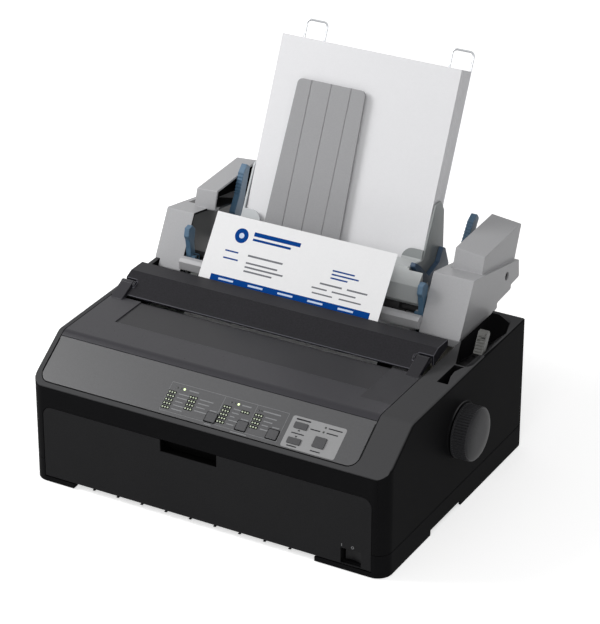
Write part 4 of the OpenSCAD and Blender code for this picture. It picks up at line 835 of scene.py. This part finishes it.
# The frame's ABS in two tones: light grey up to the beam's back, and matt black behind it.
beam_back = 246.6
grain_mm, grain_depth_mm = 1.2, 0.04
feeder_two_tone, tree = blank("abs_feeder_two_tone")
place = add(tree, "ShaderNodeTexCoord").outputs["Object"]
fine = add(tree, "ShaderNodeTexNoise", {"Vector": place, "Scale": 1 / (grain_mm * mm), "Detail": 2.0})
depth = add(tree, "ShaderNodeSeparateXYZ", {0: place})
inside = add(tree, "ShaderNodeMath", {0: depth.outputs["Y"], 1: at(0, beam_back, 0).y},
             operation="GREATER_THAN")
tone = add(tree, "ShaderNodeMix", {0: inside.outputs[0], 6: linear("#b2b2b4"), 7: linear("#19191b")},
           data_type="RGBA")
light = add(tree, "ShaderNodeMapRange", {"Value": fine.outputs["Fac"], "To Min": 0.93, "To Max": 1.07})
speckled = add(tree, "ShaderNodeVectorMath", {0: tone.outputs[2], "Scale": light.outputs[0]},
               operation="SCALE")
bump = add(tree, "ShaderNodeBump", {"Height": fine.outputs["Fac"], "Strength": 0.25,
                                    "Distance": grain_depth_mm * mm})
skin = add(tree, "ShaderNodeBsdfPrincipled", {"Base Color": speckled.outputs[0], "Roughness": 0.45,
                                              "Normal": bump.outputs[0], "IOR": 1.53})
show(tree, skin.outputs[0])
finished("feeder_frame", feeder_two_tone, radius=0.35)
finished("pickup_shaft", roller_rubber, radius=0.2)

# Edge guides, separators and levers. Grey guides with hoods over the pick-up rollers slide on the rail, and
# blue acetal levers lock them, press the stack forward and hold the feeder on the printer.

# Cool grey ABS. The hood on the right and the plate on the left are painted paler where they catch the
# light, a painted highlight.
hood_end_highlight = ((60, 250, 160), (88.6, 300, 203), "#b9bcbc")
hood_front_highlight = ((88.6, 250, 160), (110, 270, 203), "#b9bcbc")
left_plate_highlight = ((-138, 300, 196), (-100, 352, 252), "#c6c9cb")
guide_grey = plastic("abs_guide_plate", "#868a8a", "#8f9393", roughness=0.4, grain=0.04,
                     areas=[hood_end_highlight, hood_front_highlight, left_plate_highlight])
for name in ("guide_left", "guide_right"):
    finished(name, guide_grey, radius=0.4)
# Coloured acetal: an even slate blue with a soft gloss, and a deeper one for the locks.
lever_blue = plastic("acetal_blue", "#47667f", "#527089", roughness=0.36, grain=0.03)
for name in ("latch_left", "latch_right", "set_levers"):
    finished(name, lever_blue, radius=0.35)
lock_blue = plastic("acetal_blue_deep", "#2f455c", "#364d65", roughness=0.4, grain=0.03)
for name in ("guide_lock_left", "guide_lock_right"):
    finished(name, lock_blue, radius=0.35)

# Stacker panel and support wires. The hinged grey panel lies over the stack with three fine grooves, and two
# bows of chromed wire stand behind it.

# Mid-grey ABS, even and satin.
stacker_grey = plastic("abs_stacker_grey", "#929294", "#99999b", roughness=0.42, grain=0.04)
finished("stacker_panel", stacker_grey, radius=0.4)
# Chromed wire: bright and smooth, with hardly a mark.
chrome_wire = metal("chromed_wire", "#c3c5c8", roughness=0.16, streak_mm=1.5)
for name in ("wire_support_left", "wire_support_right"):
    finished(name, chrome_wire, radius=0.05, angle=60)

# Paper. A stack of loose sheets in the hopper, each a little out of line with the next, and the sheet being
# printed, which comes up behind the cover with a plain form printed on it.

sheet_w, sheet_len = 215.9, 279.4
stack_t, sheets = 24.7, 46
stack_mid, stack_foot_y, stack_foot_z = -20, 273.1, 125.9
lean = math.radians(24.4)


def paper(name, colour, bump_mm):
    """Uncoated paper: white and quite matt, with faint cloudy fibres. Real fibres are about 1 mm long and are
    drawn at 4 mm, as coarse as they need to show."""
    fibre_mm = 4
    material, tree = blank(name)
    place = add(tree, "ShaderNodeTexCoord").outputs["Object"]
    fibre = add(tree, "ShaderNodeTexNoise", {"Vector": place, "Scale": 1 / (fibre_mm * mm), "Detail": 6.0,
                                             "Distortion": 1.5})
    light = add(tree, "ShaderNodeMapRange", {"Value": fibre.outputs["Fac"], "To Min": 0.97, "To Max": 1.02})
    tone = add(tree, "ShaderNodeVectorMath", {0: linear(colour)[:3], "Scale": light.outputs[0]},
               operation="SCALE")
    bump = add(tree, "ShaderNodeBump", {"Height": fibre.outputs["Fac"], "Strength": 0.15,
                                        "Distance": bump_mm * mm})
    skin = add(tree, "ShaderNodeBsdfPrincipled", {"Base Color": tone.outputs[0], "Roughness": 0.85,
                                                  "Normal": bump.outputs[0], "IOR": 1.4,
                                                  "Specular IOR Level": 0.25})
    show(tree, skin.outputs[0])
    return material


def sheaf(name, finish):
    """The stack as a Geometry Nodes line of thin slabs, each shifted by a random part of a stagger."""
    slab_share = 0.9
    trim = 0.5
    group = bpy.data.node_groups.new(name + "_sheets", "GeometryNodeTree")
    sockets = group.interface
    for title, kind in (("Sheets", "Int"), ("Width", "Float"), ("Length", "Float"), ("Thickness", "Float"),
                        ("Stagger", "Float"), ("Seed", "Int")):
        sockets.new_socket(title, in_out="INPUT", socket_type="NodeSocket" + kind)
    sockets.new_socket("Stack", in_out="OUTPUT", socket_type="NodeSocketGeometry")
    given = add(group, "NodeGroupInput").outputs
    pitch = add(group, "ShaderNodeMath", {0: given["Thickness"], 1: given["Sheets"]}, operation="DIVIDE")
    slab_t = add(group, "ShaderNodeMath", {0: pitch.outputs[0], 1: slab_share}, operation="MULTIPLY")
    step = add(group, "ShaderNodeCombineXYZ", {"Y": pitch.outputs[0]})
    start = add(group, "ShaderNodeVectorMath", {0: step.outputs[0], "Scale": 0.5}, operation="SCALE")
    line = add(group, "GeometryNodeMeshLine", {"Count": given["Sheets"], "Start Location": start.outputs[0],
                                               "Offset": step.outputs[0]})
    size = add(group, "ShaderNodeCombineXYZ", {"X": given["Width"], "Y": slab_t.outputs[0],
                                               "Z": given["Length"]})
    slab = add(group, "GeometryNodeMeshCube", {"Size": size.outputs[0]})
    less = add(group, "ShaderNodeMath", {0: given["Stagger"], 1: -1.0}, operation="MULTIPLY")
    low = add(group, "ShaderNodeCombineXYZ", {"X": less.outputs[0], "Z": less.outputs[0]})
    high = add(group, "ShaderNodeCombineXYZ", {"X": given["Stagger"]})
    shift = add(group, "FunctionNodeRandomValue", {0: low.outputs[0], 1: high.outputs[0],
                                                   "Seed": given["Seed"]}, data_type="FLOAT_VECTOR")
    moved = add(group, "GeometryNodeSetPosition", {"Geometry": line.outputs[0], "Offset": shift.outputs[0]})
    copies = add(group, "GeometryNodeInstanceOnPoints", {"Points": moved.outputs[0],
                                                         "Instance": slab.outputs[0]})
    real = add(group, "GeometryNodeRealizeInstances", {0: copies.outputs[0]})
    coloured = add(group, "GeometryNodeSetMaterial", {"Geometry": real.outputs[0], "Material": finish})
    add(group, "NodeGroupOutput", {0: coloured.outputs[0]})
    result = bpy.data.objects.new(name, bpy.data.meshes.new(name))
    scene.collection.objects.link(result)
    modifier = result.modifiers.new("sheets", "NODES")
    modifier.node_group = group
    values = {"Sheets": sheets, "Width": (sheet_w - trim) * mm, "Length": (sheet_len - trim) * mm,
              "Thickness": stack_t * mm, "Stagger": 0.25 * mm, "Seed": 4}
    for item in sockets.items_tree:
        if item.in_out == "INPUT":
            modifier[item.identifier] = values[item.name]
    graph = bpy.context.evaluated_depsgraph_get()
    mesh = bpy.data.meshes.new_from_object(result.evaluated_get(graph))
    result.modifiers.clear()
    foot = at(stack_mid, stack_foot_y, stack_foot_z)
    mesh.transform(Matrix.Translation(foot) @ Matrix.Rotation(-lean, 4, "X")
                   @ Matrix.Translation((0, 0, sheet_len / 2 * mm)))
    result.data = mesh
    return result


stack = sheaf("paper_stack_sheets", paper("paper_stack_white", "#e6e6e8", bump_mm=0.05))
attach(stack, frame["nodes"]["paper_stack"]["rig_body"])
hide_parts("paper_stack")

finished("printed_sheet", paper("paper_form_white", "#ebebec", bump_mm=0.03), radius=0.03, angle=40)
sheet_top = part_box("printed_sheet")[1]
sheet_left = -128
sheet_lean = math.radians(54.1)
sheet_back = 0.33


def on_sheet(u, w, h):
    """A place on the printed sheet: u from its left edge, w down from its top edge, h out of its front."""
    y_off = sheet_back + w * math.cos(sheet_lean) + h * math.sin(sheet_lean)
    z_off = w * math.sin(sheet_lean) - h * math.cos(sheet_lean)
    return Vector((at(sheet_left + u, 0, 0).x, sheet_top.y - y_off * mm, sheet_top.z - z_off * mm))


form_blue = [rounded(28, 12, 44, 28, r=7.9, steps=8), patch(50, 13, 106, 17.5), patch(50, 20, 96, 22.5),
             patch(14, 66.5, 205, 73.5), patch(150, 32, 176, 33.6), patch(150, 36, 182, 37.6),
             patch(150, 40, 170, 41.6), patch(22, 38, 38, 39.6), patch(22, 46, 40, 47.6)]
form_grey = [patch(50, 38, 92, 40), patch(50, 46, 88, 47.8), patch(50, 50.5, 96, 52.3),
             patch(50, 55, 84, 56.8), patch(140, 48, 166, 49.8), patch(172, 48, 196, 49.8),
             patch(132, 54, 150, 55.6), patch(156, 54, 184, 55.6), patch(134, 59.5, 158, 61),
             patch(166, 59.5, 192, 61)]
form_pale = [patch(24 + 36 * i, 69, 42 + 36 * i, 71) for i in range(5)]
form_pale.append(rounded(33, 17, 39, 23, r=2.9, steps=6))
# Printing ink that has sunk into the paper: matt blue and grey, and pale marks on the blue.
form_inks = [("form_print_blue", form_blue, ink("ink_form_blue", "#083f88", roughness=0.7), 0.0),
             ("form_print_grey", form_grey, ink("ink_form_grey", "#77797e", roughness=0.7), 0.0),
             ("form_print_pale", form_pale, ink("ink_form_pale", "#c9d6ea", roughness=0.7), ink_t)]
for name, patches, material, under in form_inks:
    prints(name, patches, on_sheet, material, "printed_sheet", under)
